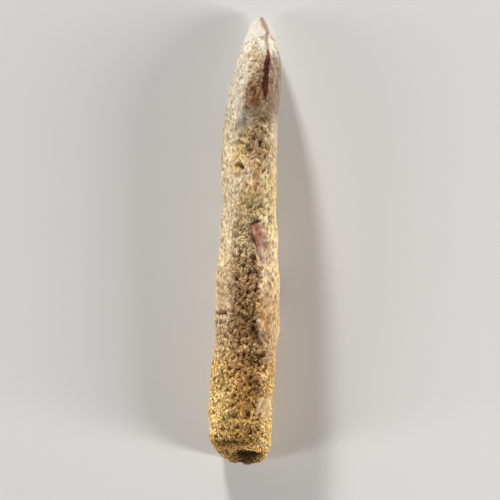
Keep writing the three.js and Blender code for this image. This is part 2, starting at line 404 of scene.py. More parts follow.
beside_stripe = np.where(left_of_stripe, 0.65, 0.4) * eased(3.4, 1.2, stripe_reach)
beside_stripe = beside_stripe * ON_FRONT * eased(24.2, 22.6, Y) * eased(16.3, 18.0, Y)
red_share = eased(25, 23.3, Y)
stripe_red, stripe_faint = stripe * red_share, stripe * (1 - red_share)
second_patch = most(
    patch(-1, 19.2, 0.5, 1, 14, 0.7),
    0.8 * patch(-1.3, 18.1, 0.45, 0.9, 8, 0.8, 1.1),
    0.6 * patch(-0.55, 18.6, 0.4, 1, -6, 0.8, 1.2),
    patch(-0.68, 17.05, 0.85, 0.5, 6, 0.7),
)
# A little enamel is left near the crown's rear edges.
rear_remnant = eased(0.06, 0.2, ragged_broad + 0.5 * ragged) * eased(12, 18, Y)
rear_remnant = rear_remnant * eased(-0.2, -0.6, sin) * eased(25.0, 23.0, Y)
red_enamel = most(stripe_red, 0.5 * rear_remnant)
rusty = most(0.9 * eased(22.2, 23.6, Y), 0.3 * patch(1.15, 18.9, 0.25, 0.7, 0, 0.5))
sand = sand * (1 - 0.9 * red_enamel)
ridge_polish_and_highlight = 0.6 * most(
    patch(0.42, 24.6, 0.2, 1.3, -4, 0.9, 0.4),
    patch(1.45, 24.6, 0.22, 1.2, 5, 0.9, 0.4),
)
show("red enamel", red_enamel)

# %% [markdown]
# ## The glued break
#
# The tip broke off once and was glued back, so a fine groove runs round it. Seen from above it
# rises from both flanks to an apex beside the ridge. The groove could be a cut made with a
# Boolean, but pressing it into the grid keeps one closed surface and lets the groove open and
# close along its way, as such a join does.

# %% The break's line and what lies beyond it
break_apex = (0.86, 26.3)
fall_left, fall_right = 0.47, 1.08
apex_round = 0.3
from_apex = X - break_apex[0]
break_fall = np.where(from_apex < 0, fall_left, fall_right)
break_drop = break_fall * (np.hypot(from_apex, apex_round) - apex_round)
slow_wander, quick_wander = 0.22, 0.12
break_wander = slow_wander * (rolling(plain, 1.1, salt=70) - 0.5) + quick_wander * ragged_fine
beyond_break = (Y - break_apex[1] + break_drop + break_wander) / np.hypot(1, break_fall)
tip_enamel = eased(-0.05, 0.05, beyond_break)
crack_half_width, chip_place, chip_half_width = 0.075, 0.28, 0.2
closed_in_places = 0.25 + 0.75 * eased(0.42, 0.62, rolling(plain, 0.45, salt=71))
open_share = np.where(from_apex > 0.3, 1.0, closed_in_places)
crack = bell(beyond_break / crack_half_width) * open_share
chips = bell((beyond_break + chip_place) / chip_half_width) * eased(0.6, 0, from_apex)
chips = chips * eased(0.56, 0.72, rolling(plain, 0.34, salt=72))
show("break", crack)

# %% [markdown]
# ## Relief
#
# All the relief is real, so it holds in a side view and in the mesh itself. It is built as
# heights above the plain form and then pushed out along each point's outward direction. First
# come the broad forms that the imported solid also has, then what only the fine grid can hold.

# %% Broad relief: lumps, ridge and hollows
lump_size, lump_height, bare_swell = 1.5, 0.26, 0.1
hollows = [
    # x, y, half width, half length, degrees, depth
    (1.05, 0, 0.9, 2.4, -17, 0.5),  # the scar where the crust has flaked off
    (0.5, -0.9, 0.4, 1.6, -33, 0.35),  # the step along its lower left side
    (-3.5, -9.35, 0.8, 0.22, -24, 0.34),  # the notch in the left edge
    (1.05, -10.8, 0.5, 1.6, -38, 0.35),  # the oblique furrow below the scar
    (-1.8, 9.05, 0.42, 0.3, 0, 0.4),  # the pit with the raised lip
    (-1.9, 8.4, 0.5, 0.25, 0, -0.18),  # its lip
    (-2.05, 11.8, 0.5, 0.45, 30, 0.35), (-0.5, 10.9, 0.6, 0.5, 0, 0.4),
    (-0.35, 12.4, 0.45, 0.45, 0, 0.3), (1.32, 9.8, 0.35, 0.7, 0, 0.35),
    (1.26, 8.6, 0.5, 0.5, 0, 0.4), (2.2, 2.85, 0.8, 0.35, 24, 0.3),
    (2.9, -4.8, 0.9, 0.4, 42, 0.3),
    (2.65, -19.65, 0.7, 1.7, 0, 0.22),  # the smooth oval patch in the sand
    (-1.6, -18.5, 0.5, 0.5, 0, 0.35), (-1.3, -22, 0.5, 0.5, 0, 0.35),
    (0.9, -21.7, 0.45, 0.45, 0, 0.35), (2.26, -21.5, 0.45, 0.45, 0, 0.35),
    (2.2, -22.4, 2, 0.4, -9, -0.22),  # the ledge across the root
]
relief = lump_height * broad_crust * (pebbles(plain, lump_size) - 0.5)
relief += bare_swell * (1 - broad_crust) * np.sin(1.1 * Y + 2 * sin) * eased(20, 10, Y)
from_ridge = (ANGLE - math.pi / 2) / ridge_angle
relief += ridge_height * bell(from_ridge) * eased(8, 19, Y) * eased(29, 26, Y)
for *where, depth in hollows:
    relief -= depth * dip(*where)
show("broad relief in mm", relief)

# %% Noise that leans
def leaned(points, degrees, lengthen):
    """Points turned about Z and squeezed along Y, so that noise on them runs slantwise."""
    across, lengthwise = rotated(points[..., 0], points[..., 1], degrees)
    return np.stack([across, lengthwise / lengthen, points[..., 2]], -1)


# %% Fine relief of the crust
umber_band = eased(0.55, 0.95, front_band) * eased(3.0, -1.0, Y) * (1 - golden)
pebble_lump = pebbles(plain, 0.46, 31)
slanted_lump = pebbles(leaned(plain, 42, 1.6), 0.42, 36)
lump = blend(pebble_lump, slanted_lump, 0.35 + 0.5 * umber_band)
fine_grain = pebbles(plain, 0.34, 41)
neck_gain = 1.12 + 0.35 * eased(17, 14, Y) * eased(4, 8, Y)
lump_depth, grain_depth = 0.27, 0.11
crusted_relief = lump_depth * (lump - 0.45) + grain_depth * (fine_grain - 0.4)
crusted_relief = neck_gain * crusted_relief
pinholes = eased(0.9, 0.98, pebbles(leaned(plain, 25, 1.4), 1.15, 58)) * eased(0.45, 0.85, sand)
show("relief of the crust in mm", crusted_relief)

# %% Fine relief of the bare dentine, and both together
fibre = rugged(leaned(plain, 0, 3.2), 0.26, salt=51)
pores = eased(0.7, 0.95, pebbles(plain, 0.8, 61))
dust_film = pebbles(leaned(plain, 30, 1.3), 0.4, 66)
flaked = eased(0.5, 0.53, rugged(leaned(plain, 0, 2.5), 2.6, salt=81))
pitted = eased(16, 8, Y)
fibre_depth, pore_depth, flake_step = 0.09, 0.05, 0.05
dust_depth = 0.02 + 0.1 * pitted
dentine_relief = fibre_depth * (fibre - 0.5) + dust_depth * (dust_film - 0.4) - pore_depth * pores
dentine_relief += flake_step * flaked * eased(20, 14, Y)
polish = most(tip_enamel, ridge_polish_and_highlight, stripe_red, 0.5 * rear_remnant)
thick = eased(0.1, 1.0, sand)
rough_share = thick**0.6 * (1 - 0.8 * flake_plate)
crust_bed, flank_bed, pinhole_depth = 0.2, 0.08, 0.12  # how far each lies under the plain form
fine = -crust_bed * thick - flank_bed * eased(16, 13, Y) * np.abs(cos)
fine += blend(dentine_relief * (1 - 0.85 * polish), crusted_relief, rough_share)
fine -= pinhole_depth * pinholes
scar_depth, red_depth, lip_height = 0.1, 0.05, 0.05
fine = fine * (1 - 0.5 * scar) - scar_depth * scar - red_depth * red_enamel
stripe_lip = bell((stripe_reach - 1.35) / 0.3) * ON_FRONT * eased(17, 19, Y) * eased(28, 26, Y)
fine += lip_height * stripe_lip
# The crest goes from 0 in the gaps to 1 on top of each lump. It tones the colour: dirt and painted
# shade in the gaps, a painted highlight on top.
bare_crest = 0.5 + blend(0.6, 1.2, pitted) * (0.5 * dust_film + 0.5 * fibre - 0.45) - 0.3 * pores
crust_crest = 0.5 + neck_gain * (0.95 * lump - 0.46 + 0.3 * (fine_grain - 0.4)) - 0.5 * pinholes
crest = blend(bare_crest, crust_crest, thick)
show("crest", crest)

# %% Large pebbles
large_pebbles = [
    # x, y, radius, height
    (-0.55, -5.1, 0.34, 0.2), (0.2, -7.4, 0.3, 0.18), (1.35, -7.75, 0.34, 0.2),
    (1.5, -9.85, 0.32, 0.2), (-2.9, -9.9, 0.45, 0.12), (1.4, -21.3, 0.32, 0.2),
    (1.2, -24.3, 0.24, 0.15), (0.15, -13.3, 0.5, 0.14), (1.3, -12.9, 0.35, 0.18),
    (1.5, -18, 0.36, 0.15), (-2.1, 8.35, 0.42, 0.1), (-1.2, 12.2, 0.4, 0.12),
]
pebble_share = np.zeros_like(X)
for x, y, pebble_radius, height in large_pebbles:
    reach = turned(x, y, pebble_radius, 0.75 * pebble_radius, 20) + 0.8 * ragged_fine
    dome = np.clip(1 - reach**2, 0, 1) * ON_FRONT
    fine = fine * (1 - 0.4 * eased(0, 0.4, dome)) + 0.8 * height * np.sqrt(dome)
    pebble_share = np.maximum(pebble_share, eased(0, 0.4, dome))
crest = blend(crest, 0.75 + 0.3 * (fine_grain - 0.4), 0.7 * pebble_share)
show("fine relief in mm", fine)

# %% A furrow from one place to another
def furrow(sx, sy, ex, ey, half_width, ragged_by=0.5):
    """A groove from one place to another, as a share of its depth."""
    length = math.hypot(ex - sx, ey - sy)
    dx, dy = (ex - sx) / length, (ey - sy) / length
    run = (X - sx) * dx + (Y - sy) * dy
    off = (X - sx) * dy - (Y - sy) * dx + ragged_by * ragged_fine
    inside = eased(-0.2, 0.2, run) * eased(length + 0.2, length - 0.2, run)
    return bell(off / half_width) * inside * ON_FRONT


# %% Slits
slits = [
    # x and y of both ends, half width, depth
    (2.3, 3.1, 2.7, 2.5, 0.14, 0.18), (1.4, 3.1, 1.7, 2.95, 0.13, 0.12),
    (2.35, -4.9, 2.9, -5.5, 0.17, 0.18), (2.95, -4.4, 3.5, -5.4, 0.12, 0.16),
    (0.05, 0.85, 0.4, -0.35, 0.24, 0.16),  # the wedge beside the scar
    (0.5, -0.45, 1.5, -2.6, 0.12, 0.12), (1.25, -0.3, 1.55, -2.2, 0.1, 0.08),
    (-0.2, 1.8, 0.1, 2.25, 0.16, 0.16),  # the scar's upper edge
    (0.1, 2.3, 1.1, 2.4, 0.17, 0.22), (0.75, -10.7, 1.6, -12.2, 0.36, 0.24),
    (-0.9, -9.5, 0.6, -9.7, 0.3, 0.12), (-1.5, -9.3, -0.4, -9.8, 0.25, 0.12),
    (-4.2, -9.6, -2.9, -9.15, 0.12, 0.26), (2.1, -11.9, 2.9, -12.6, 0.14, 0.14),
    (-1.2, 11.15, -0.2, 11.2, 0.18, 0.18), (-0.1, 10.85, 0.9, 10.5, 0.15, 0.14),
    (1.28, 10.5, 1.3, 9.8, 0.16, 0.14), (-2.5, 11.65, -2, 12, 0.24, 0.2),
    (0.55, 12.8, 0.6, 11.8, 0.22, 0.1), (0.35, 9.6, 0.8, 9.1, 0.16, 0.1),
    (1.3, -18.3, 2.7, -19.3, 0.22, 0.16), (0.75, -16.8, 1.1, -16.8, 0.18, 0.16),
    (0.8, -22.5, 3.2, -21.95, 0.1, 0.16), (3.3, -16.8, 4.2, -16.9, 0.2, 0.2),
]
# Slits, pits and cracks get darker the deeper they are: dirt and painted shade.
slit_mask, dark_depth = np.zeros_like(X), 0.25  # from this depth a slit is fully dark
for *line, depth in slits:
    groove = furrow(*line)
    fine -= depth * groove
    slit_mask = np.maximum(slit_mask, groove * min(1.0, depth / dark_depth))
show("slits", slit_mask)

# %% Raised rims
rims = [
    # x and y of both ends, half width, height
    (0.05, -0.25, 1.4, -2.8, 0.09, 0.09), (-0.1, -1, -0.9, -2.05, 0.08, 0.08),
    (1.45, 2.1, 2.1, 0.5, 0.1, 0.08), (1.2, 1.9, 1.6, 1.1, 0.08, 0.06),
    (1.3, -0.2, 1.7, -1.6, 0.08, 0.06), (1.5, 22.4, 2.15, 20.9, 0.09, 0.1),
    # crests of the crust at the neck:
    (-3.1, 12, -2.3, 12.6, 0.13, 0.1), (-2.2, 11.6, -1.3, 12.6, 0.15, 0.12),
    (-3, 11.2, -2.2, 11.3, 0.12, 0.1), (-1.1, 12.2, -0.7, 11.6, 0.12, 0.1),
    (-2.4, 9.7, -1.5, 9.6, 0.12, 0.08), (-2.3, 8.25, -1.5, 8.3, 0.11, 0.1),
    (-1.3, 10.5, -0.3, 10.2, 0.14, 0.1), (0.2, 10.1, 0.95, 9.4, 0.14, 0.1),
    (1.3, 13.6, 2, 12.9, 0.1, 0.08), (1.2, 12.5, 1.9, 11.7, 0.1, 0.08),
    (0.5, 14.2, 1.3, 13.9, 0.12, 0.08),
]
rim_mask = np.zeros_like(X)
for *line, height in rims:
    rim = furrow(*line, 0.3)
    fine += height * rim
    rim_mask = np.maximum(rim_mask, rim)
show("rims", rim_mask)

# %% Deep pits
deep_pits = [
    # x, y, half width, depth
    (-1.75, 8.95, 0.34, 0.36), (-2.1, 8.5, 0.2, 0.12), (1.15, 8.6, 0.26, 0.16),
    (-0.4, 12.5, 0.3, 0.14), (-1.35, 12.9, 0.18, 0.16), (1, 14.85, 0.28, 0.2),
    (0.7, 13.7, 0.18, 0.12), (0.35, 3.7, 0.16, 0.16), (-0.75, 4.4, 0.2, 0.14),
    (0.3, -3.9, 0.3, 0.2), (0.05, -1, 0.16, 0.14), (-3, -9.15, 0.24, 0.2),
    (2.3, -11.7, 0.2, 0.18), (1, -14.4, 0.16, 0.16), (1.2, -14.9, 0.2, 0.2),
    (1.5, -17.5, 0.22, 0.16), (-1.35, -19.7, 0.2, 0.28), (-1.9, -18.5, 0.12, 0.18),
    (-1.2, -20.5, 0.18, 0.16), (-1.35, -22.3, 0.26, 0.28), (0.95, -21.4, 0.18, 0.24),
    (2.2, -21.6, 0.2, 0.24), (-1, -25.7, 0.28, 0.2), (0.8, -25.5, 0.2, 0.18),
]
for x, y, half_across, depth in deep_pits:
    pit = dip(x, y, half_across, 1.2 * half_across, -20, wander=0.8)
    fine -= depth * pit
    slit_mask = np.maximum(slit_mask, pit * min(1.0, depth / dark_depth))
show("slits and pits", slit_mask)

# %% Drying cracks along the flanks and the rear
def drying_crack(degrees, start, end, half_width, salt):
    """A lengthwise crack at an angle of the section, from y start to y end."""
    flank_radius, fade = 4.6, 0.6
    wander = 1.4 * (rolling(np.stack([Y * 0, Y, Y * 0 + salt], -1), 5.0, salt) - 0.5)
    wander = wander + 0.25 * (rolling(np.stack([Y * 0, Y, Y * 0], -1), 0.9, salt) - 0.5)
    off = np.angle(np.exp(1j * (ANGLE - math.radians(degrees)))) * flank_radius - wander
    inside = eased(start - fade, start + fade, Y) * eased(end + fade, end - fade, Y)
    return bell(off / half_width) * inside


drying_cracks = [
    # degrees around the section, from y, to y, half width
    (8, -20, -4, 0.09), (-28, -26, -12, 0.1), (24, 2, 13, 0.07), (-18, 4, 20, 0.08),
    (186, -17, -3, 0.09), (212, -4, 15, 0.08), (172, 8, 18, 0.07), (205, -27, -15, 0.1),
    (-75, -20, 6, 0.11), (-105, -6, 18, 0.1),
]
dry_salt, dry_depth = 90, 0.16
for number, measures in enumerate(drying_cracks):
    dry = drying_crack(*measures, dry_salt + number) * (1 - 0.8 * thick)
    fine -= dry_depth * dry
    slit_mask = np.maximum(slit_mask, 0.8 * dry)
break_depth, chip_depth, tip_depth = 0.3, 0.07, 0.02
fine -= break_depth * crack + chip_depth * chips + tip_depth * tip_enamel
show("fine relief with all its cracks in mm", fine)

# %% Push the surface out
ring_fade = eased(0, 0.3, OPEN)
surface = plain + outward * ((relief + fine) * ring_fade)[..., None]
near_end = eased(end_lean["from_y"], end_lean["to_y"], surface[..., 1])
above_foot = np.maximum(surface[..., 2] - end_lean["from_z"], 0)
surface[..., 1] += end_lean["slope"] * above_foot * near_end
from_pulp = np.hypot(
    (surface[..., 0] - pulp["x"]) / pulp["half_width"],
    (surface[..., 2] - pulp["z"]) / pulp["half_height"],
)
pulp_mask = bell(from_pulp**2) * np.maximum(-FACING, 0)
surface[..., 1] += pulp["depth"] * pulp_mask
surface[..., 2] = np.maximum(surface[..., 2], 0.0)
show("tooth in mm", surface)

# %% [markdown]
# ## Blocking in the colours
#
# As in a painting, the broad tints come first: one run of tints along the flanks, one along the
# sand in front, and a few named stains and patches of painted shade over them. Each point of the
# mesh keeps its tint as a colour attribute, so the tooth and the grains that lie on it agree. The
# materials add all that is finer: streaks, grain, dirt and painted shade in the hollows, and
# painted highlights on the crests.

# %% Tints along the tooth, as linear red, green and blue
flank_tints = np.array([
    # y, red, green, blue
    [-29, 0.72, 0.50, 0.24], [-22, 0.78, 0.54, 0.25], [-17, 0.74, 0.51, 0.25],
    [-13, 0.70, 0.49, 0.27], [-8, 0.72, 0.51, 0.29], [-4, 0.74, 0.56, 0.33],
    [0, 0.70, 0.56, 0.37], [4, 0.66, 0.545, 0.37], [12, 0.55, 0.45, 0.31],
    [18, 0.50, 0.43, 0.325], [24.5, 0.68, 0.61, 0.49], [29, 0.60, 0.53, 0.42],
])
sand_tints = np.array([
    # y, red, green, blue
    [-29, 0.90, 0.55, 0.20], [-25, 0.74, 0.45, 0.15], [-21, 0.49, 0.27, 0.08],
    [-17, 0.55, 0.30, 0.10], [-14, 0.40, 0.225, 0.09], [-9, 0.36, 0.21, 0.095],
    [-3, 0.44, 0.29, 0.145], [1, 0.48, 0.35, 0.19], [4, 0.60, 0.43, 0.21], [7, 0.60, 0.37, 0.13],
    [10, 0.48, 0.31, 0.15], [13, 0.35, 0.225, 0.11], [16, 0.32, 0.22, 0.12],
    [19, 0.36, 0.25, 0.14], [23, 0.42, 0.32, 0.19], [29, 0.50, 0.42, 0.29],
])


def tints_at(table):
    return np.stack([along(table, Y, column) for column in (1, 2, 3)], -1)


sand_shown = eased(0.12, 0.6, sand)[..., None]
tint = tints_at(flank_tints) * (1 - sand_shown) + tints_at(sand_tints) * sand_shown
show("broad tint", tint)

# %% Colours of the stains
GREY_STAIN = (0.25, 0.205, 0.15)
GREY_DARK = (0.16, 0.13, 0.10)
TAN_SAND = (0.46, 0.32, 0.18)
MAUVE_GREY_AND_SHADE = (0.215, 0.145, 0.095)
MAUVE_BROWN = (0.17, 0.085, 0.05)
RED_BROWN = (0.14, 0.055, 0.032)
END_SHADE = (0.05, 0.022, 0.006)
FLANK_CREAM = (0.76, 0.60, 0.40)
YELLOW_CREAM = (0.70, 0.53, 0.24)
RUST = (0.60, 0.32, 0.12)
GOLD_SAND = (0.92, 0.66, 0.27)
CREAM_SAND = (0.68, 0.50, 0.31)
BROWN_SAND = (0.28, 0.135, 0.045)
UMBER_SHADE = (0.12, 0.066, 0.03)
SCAR_PINK = (0.49, 0.235, 0.145)
SCAR_STREAK_AND_SHADE = (0.15, 0.05, 0.025)
MAUVE_STAIN = (0.33, 0.20, 0.165)
SCAR_PALE = (0.66, 0.49, 0.36)
SCAR_LIGHT = (0.72, 0.44, 0.32)
GROOVE_SHADE = (0.09, 0.05, 0.024)
OVAL_TAN = (0.54, 0.375, 0.185)
PALE_RIM_AND_HIGHLIGHT = (0.72, 0.57, 0.34)
END_BROWN_AND_SHADE = (0.045, 0.018, 0.005)

# %% [markdown]
# ## Stains, painted shade and soft blots
#
# Iron, clay and old glue leave stains with a place of their own: grey below the crown, mauve on
# its right facet, rust in the sand, pink on the scar. Painted shade is laid on in the same way: on
# the right facet, in the furrows, notches, pits and grooves, on the scar's steep wall and on the
# end that is turned away from the light, with painted highlights on raised rims and large pebbles.
# Each is an oval with a wandering edge, or one of the masks from above, and they are laid on in
# order, like glazes. Last come soft blots, places a little darker or paler than what is around
# them. They could be noise, but each is listed with a place.

# %% The right facet and its painted shade, the scar's pale ray and the painted shade of the end
facet_wander = Y + 2.0 * ragged_broad + 1.0 * ragged
right_facet = eased(1.25, 1.75, X + 0.3 * ragged) * eased(12.5, 16.5, facet_wander)
right_facet = right_facet * eased(25.0, 21.5, facet_wander) * eased(-0.1, 0.5, sin + 0.4 * ragged)
ray_bends = [(0.08, 1.6), (0.42, 0.4), (0.72, -0.8), (1.2, -2.2)]
scar_ray = most(*(furrow(*a, *b, 0.08, 0.3) for a, b in zip(ray_bends, ray_bends[1:])))
# Painted shade on the end face, which is turned away from the key light.
end_shade = 0.95 * eased(-0.2, -0.6, FACING) * eased(7.8, 5.6, Z)
end_shade = end_shade * eased(0.8, 3.4, Z) * bell((X - 0.9) / 2.3)
show("right facet", right_facet)

# %% Where the stains and the painted shade lie
stains = [
    # colour, share, then either a mask or an oval, given as to patch
    # The crown's right facet gets a mauve stain that also paints the shade of that facet.
    (MAUVE_GREY_AND_SHADE, 0.8, right_facet), (BROWN_SAND, 0.55, 1.45, 17, 0.3, 2.4, 2, 0.9),
    (GREY_STAIN, 0.9, -1.7, 14.6, 0.75, 2.1, 18, 0.8, 1.4),
    (GREY_DARK, 0.6, -1.5, 14.9, 0.3, 1.2, 14, 0.8, 1.3),
    (YELLOW_CREAM, 0.5, -2, 10.8, 1.1, 2, 10, 0.9, 1.5),
    (TAN_SAND, 0.45, 2.9, -14.4, 1.2, 2.8), (BROWN_SAND, 0.45, -0.9, 18.3, 0.75, 1.7, 4),
    (RED_BROWN, 1, second_patch * blend(1, 0.45, eased(0.3, 0.75, lump))),
    (MAUVE_BROWN, 1, beside_stripe), (FLANK_CREAM, 0.55, -3.3, -6, 1.5, 3.6),
    (YELLOW_CREAM, 0.6, 2.5, 4.5, 1.1, 5), (GREY_STAIN, 0.45, 0.3, 4.8, 1.2, 0.9, 0, 0.8, 1.4),
    (GREY_STAIN, 0.6, 2.2, -6.8, 0.35, 0.5), (GREY_STAIN, 0.6, 0.6, 12.2, 0.5, 1),
    (MAUVE_GREY_AND_SHADE, 0.7, 0.9, 15.9, 0.7, 1.7, -4), (BROWN_SAND, 0.4, -0.3, 18.2, 0.4, 1.8, -4),
    (RUST, 0.55, 0.45, 7.5, 0.42, 1.6), (RUST, 0.75, 2.1, -9, 0.6, 2, -14),
    # The umber ovals are painted shade in the oblique furrow below the scar, along the crack from
    # the notch and round a pit.
    (RUST, 0.5, 2.4, -23.3, 0.6, 0.6), (UMBER_SHADE, 0.75, 1.15, -11.6, 0.55, 1.3, -28, 0.7),
    (UMBER_SHADE, 0.5, -0.4, -9.6, 1.3, 0.4, 8), (UMBER_SHADE, 0.5, 0.4, -3.9, 0.6, 0.4),
    (CREAM_SAND, 0.8, -3.3, -12.3, 1.5, 3.6, 0, 0.6),
    (BROWN_SAND, 0.8, 1.5, -17.8, 0.9, 1.9, -30, 0.7),
    (BROWN_SAND, 0.5, -0.2, -26.4, 1.8, 0.9, 0, 0.7),
    (GOLD_SAND, 1, 0.75 * golden * eased(-0.4, -2, X) * eased(-27.5, -25, Y)),
    (GOLD_SAND, 1, 0.7 * golden * eased(1.9, 2.8, X) * eased(-28.5, -26, Y)), (OVAL_TAN, 1, oval),
    (SCAR_PINK, 1, scar), (SCAR_PALE, 0.8, 1.9, -1.9, 0.6, 1.1, -14, 0.8, 1.3),
    (SCAR_PALE, 1, 0.6 * scar * eased(0, 0.8, X - along(scar_edges, Y, 1) - 1.35)),
    (MAUVE_STAIN, 0.8, 1.85, -0.6, 0.28, 0.42, -15, 0.8, 1.3),
    (BROWN_SAND, 0.45, furrow(0.55, -0.9, 1.25, -2.4, 0.16)),
    # Dark red on the scar is painted shade on its steep left wall, its edges and the step below,
    # with dark streaks.
    (SCAR_STREAK_AND_SHADE, 0.95, 0.2, 0.15, 0.34, 0.85, -22, 0.6, 0.7),
    (SCAR_STREAK_AND_SHADE, 0.6, 1.08, 0.8, 0.16, 0.3, 10, 0.8, 1.2),
    (SCAR_STREAK_AND_SHADE, 0.7, -0.05, 1.75, 0.16, 0.35, 0, 0.8, 1),
    (SCAR_STREAK_AND_SHADE, 0.5, furrow(0.55, -0.6, 1.5, -2.8, 0.12)), (SCAR_LIGHT, 0.9, scar_ray),
    (SCAR_STREAK_AND_SHADE, 0.35, furrow(1.15, 1.5, 1.35, 0.3, 0.1)),
    # Painted shade in the scar's upper edge, the notch in the left edge and the pit with the
    # raised lip.
    (GROOVE_SHADE, 0.75, furrow(-0.15, 2.15, 1.15, 2.35, 0.2)),
    (GROOVE_SHADE, 0.9, furrow(-4.2, -9.6, -2.9, -9.15, 0.1)),
    (GROOVE_SHADE, 0.8, -1.6, 9, 0.3, 0.2, -15, 0.7),
    (BROWN_SAND, 0.7, -2.1, 9.25, 0.4, 0.25, -10, 0.7),
    (END_SHADE, 1, end_shade),
    # Pale gold at the right of the end, and painted highlights on the raised rims and the large
    # pebbles.
    (PALE_RIM_AND_HIGHLIGHT, 0.55, 2.8, -26.4, 0.8, 1.1, 0, 0.9, 1.3), (PALE_RIM_AND_HIGHLIGHT, 0.7, rim_mask),
    (PALE_RIM_AND_HIGHLIGHT, 0.3, pebble_share),
]
for colour, stain_share, *where in stains:
    stain_mask = stain_share * (where[0] if len(where) == 1 else patch(*where))
    tint = tint + (np.array(colour) - tint) * np.clip(stain_mask, 0, 1)[..., None]
show("stained tint", tint)

# %% Soft blots
blots = [
    # x, y, half width, half length, tone: under 1 is darker, over 1 is paler
    (-0.5, 22.6, 0.8, 1.5, 1.4), (-2.4, 22, 1, 2.4, 0.82), (-1.7, 19.9, 0.4, 0.7, 1.25),
    (0.1, 18.2, 1.1, 1.9, 0.62), (1.45, 21.3, 0.35, 1.3, 0.8), (1.3, 16.8, 0.7, 1.6, 0.7),
    (-0.4, 16.4, 0.8, 1.2, 0.72), (-2.6, 15.5, 0.6, 1, 1.2), (1.6, 13.8, 0.7, 1.1, 1.35),
    (-3.4, 11, 0.8, 2, 1.25), (-1.5, 9.7, 0.6, 0.6, 1.25), (2.5, 6.5, 0.9, 1.6, 0.85),
    (1.5, 2.3, 0.6, 0.8, 1.3), (-2.5, 8, 0.7, 1, 1.15), (0.5, -1, 0.4, 0.8, 0.72),
    (2.2, -9.3, 0.6, 1.4, 0.86), (2.4, 14.5, 0.7, 1.8, 1.14), (-2.5, -22, 0.6, 0.8, 0.78),
    (-1.5, 5, 0.8, 1.2, 0.8), (-2.6, 2, 0.7, 1.2, 0.84), (-1.1, -0.9, 1.1, 0.9, 1.9),
    (-0.3, -2.6, 0.7, 0.7, 0.78), (-1.9, -4, 1.1, 1.5, 0.77), (1.45, -7.2, 0.45, 1.3, 1.3),
    (2.6, -5.5, 0.6, 0.9, 0.8), (-0.5, -8.4, 0.7, 0.7, 1.35), (-0.5, -10.1, 0.8, 0.45, 0.72),
    (1.55, -10, 0.6, 0.8, 1.3), (3.6, -8.5, 0.9, 2.4, 0.76), (-3.5, -7, 0.9, 1.6, 0.82),
    (2.3, -12, 0.7, 1.4, 0.75), (-0.5, -13, 0.8, 0.8, 1.3), (1.5, -13, 0.5, 0.6, 1.35),
    (1.5, -14.6, 0.6, 0.8, 0.75), (-1, -21.7, 1.2, 0.8, 1.3), (-2.6, -15.3, 1.1, 1.7, 0.75),
    (2.5, -16, 0.7, 0.9, 1.35), (3.6, -14.2, 0.6, 1.2, 1.25), (1.55, -4.8, 0.5, 1.3, 1.3),
    (1.5, -22, 0.6, 0.8, 1.3), (-3.5, -22, 0.9, 2.2, 1.25), (-1.8, -23, 1, 1.2, 0.78),
    (-0.3, -25.2, 2.2, 1.3, 0.58), (-2.3, -26.6, 1.3, 1, 0.45), (1.6, -23.7, 0.7, 0.7, 0.72),
]
warmth = np.array((0.9, 1.05, 1.3))  # a darker place is also a warmer one
for x, y, half_across, half_along, tone in blots:
    share = patch(x, y, half_across, half_along, edge=0.9, wander=1.2)[..., None]
    tint = tint * blend(1.0, tone**warmth, share)
tint = np.clip(tint, 0, 1)
show("tint", tint)

# %% [markdown]
# ## From rings to a mesh
#
# The rings become quads, with a fan of triangles at each end. The mesh gets a flat unwrap of its
# own, around by along, so that a texture baked from it has even detail, and it carries the masks
# as attributes for the materials and the sand grains to read.

# %% Mesh maker
def by_point(grid):
    """The grid's values point by point; the first and last ring are each one point."""
    return np.concatenate([grid[0, :1], *grid[1:-1], grid[-1, :1]])


def mesh_from_rings(name, rings):
    """A closed mesh from rings of points, with its unwrap."""
    count, around = len(rings) - 2, rings.shape[1]
    column, last = np.arange(around), count * around + 1
    # Each corner of a face has a ring and a column. An end point lies between two columns.
    r, c = np.meshgrid(np.arange(count - 1), column, indexing="ij")
    quad_rows, quad_columns = r.reshape(-1, 1) + (1, 2, 2, 1), c.reshape(-1, 1) + (0, 0, 1, 1)
    fan_columns = column[:, None] + (0.5, 0, 1)
    faces = ((quad_rows - 1) * around + quad_columns % around + 1).tolist()
    for end_point, first_of_ring, order in ((0, 1, (0, 1)), (last, last - around, (1, 0))):
        for here in column.tolist():
            faces.append([end_point, *(first_of_ring + (here + step) % around for step in order)])
    mesh = bpy.data.meshes.new(name)
    mesh.from_pydata((by_point(rings) * MM).tolist(), [], faces)
    ring_step = np.linalg.norm(np.diff(rings, axis=0), axis=-1).mean(1)
    v = np.concatenate([[0], np.cumsum(ring_step)])
    v = v / v[-1]
    columns_of_corners = quad_columns, fan_columns, fan_columns[:, [0, 2, 1]]
    rows_of_corners = quad_rows, np.tile((0, 1, 1), around), np.tile((-1, -2, -2), around)
    across, row = (
        np.concatenate([part.ravel() for part in parts])
        for parts in (columns_of_corners, rows_of_corners)
    )
    uv = np.stack([across / around, v[row]], -1)
    mesh.uv_layers.new(name="OFBake").data.foreach_set("uv", uv.astype(np.float32).ravel())
    mesh.shade_smooth()
    return mesh


tooth_mesh = mesh_from_rings("weathered_tooth", surface)
tooth = bpy.data.objects.new("weathered_tooth", tooth_mesh)
bpy.context.scene.collection.objects.link(tooth)
print("tooth mesh triangles:", sum(len(p.vertices) - 2 for p in tooth_mesh.polygons))

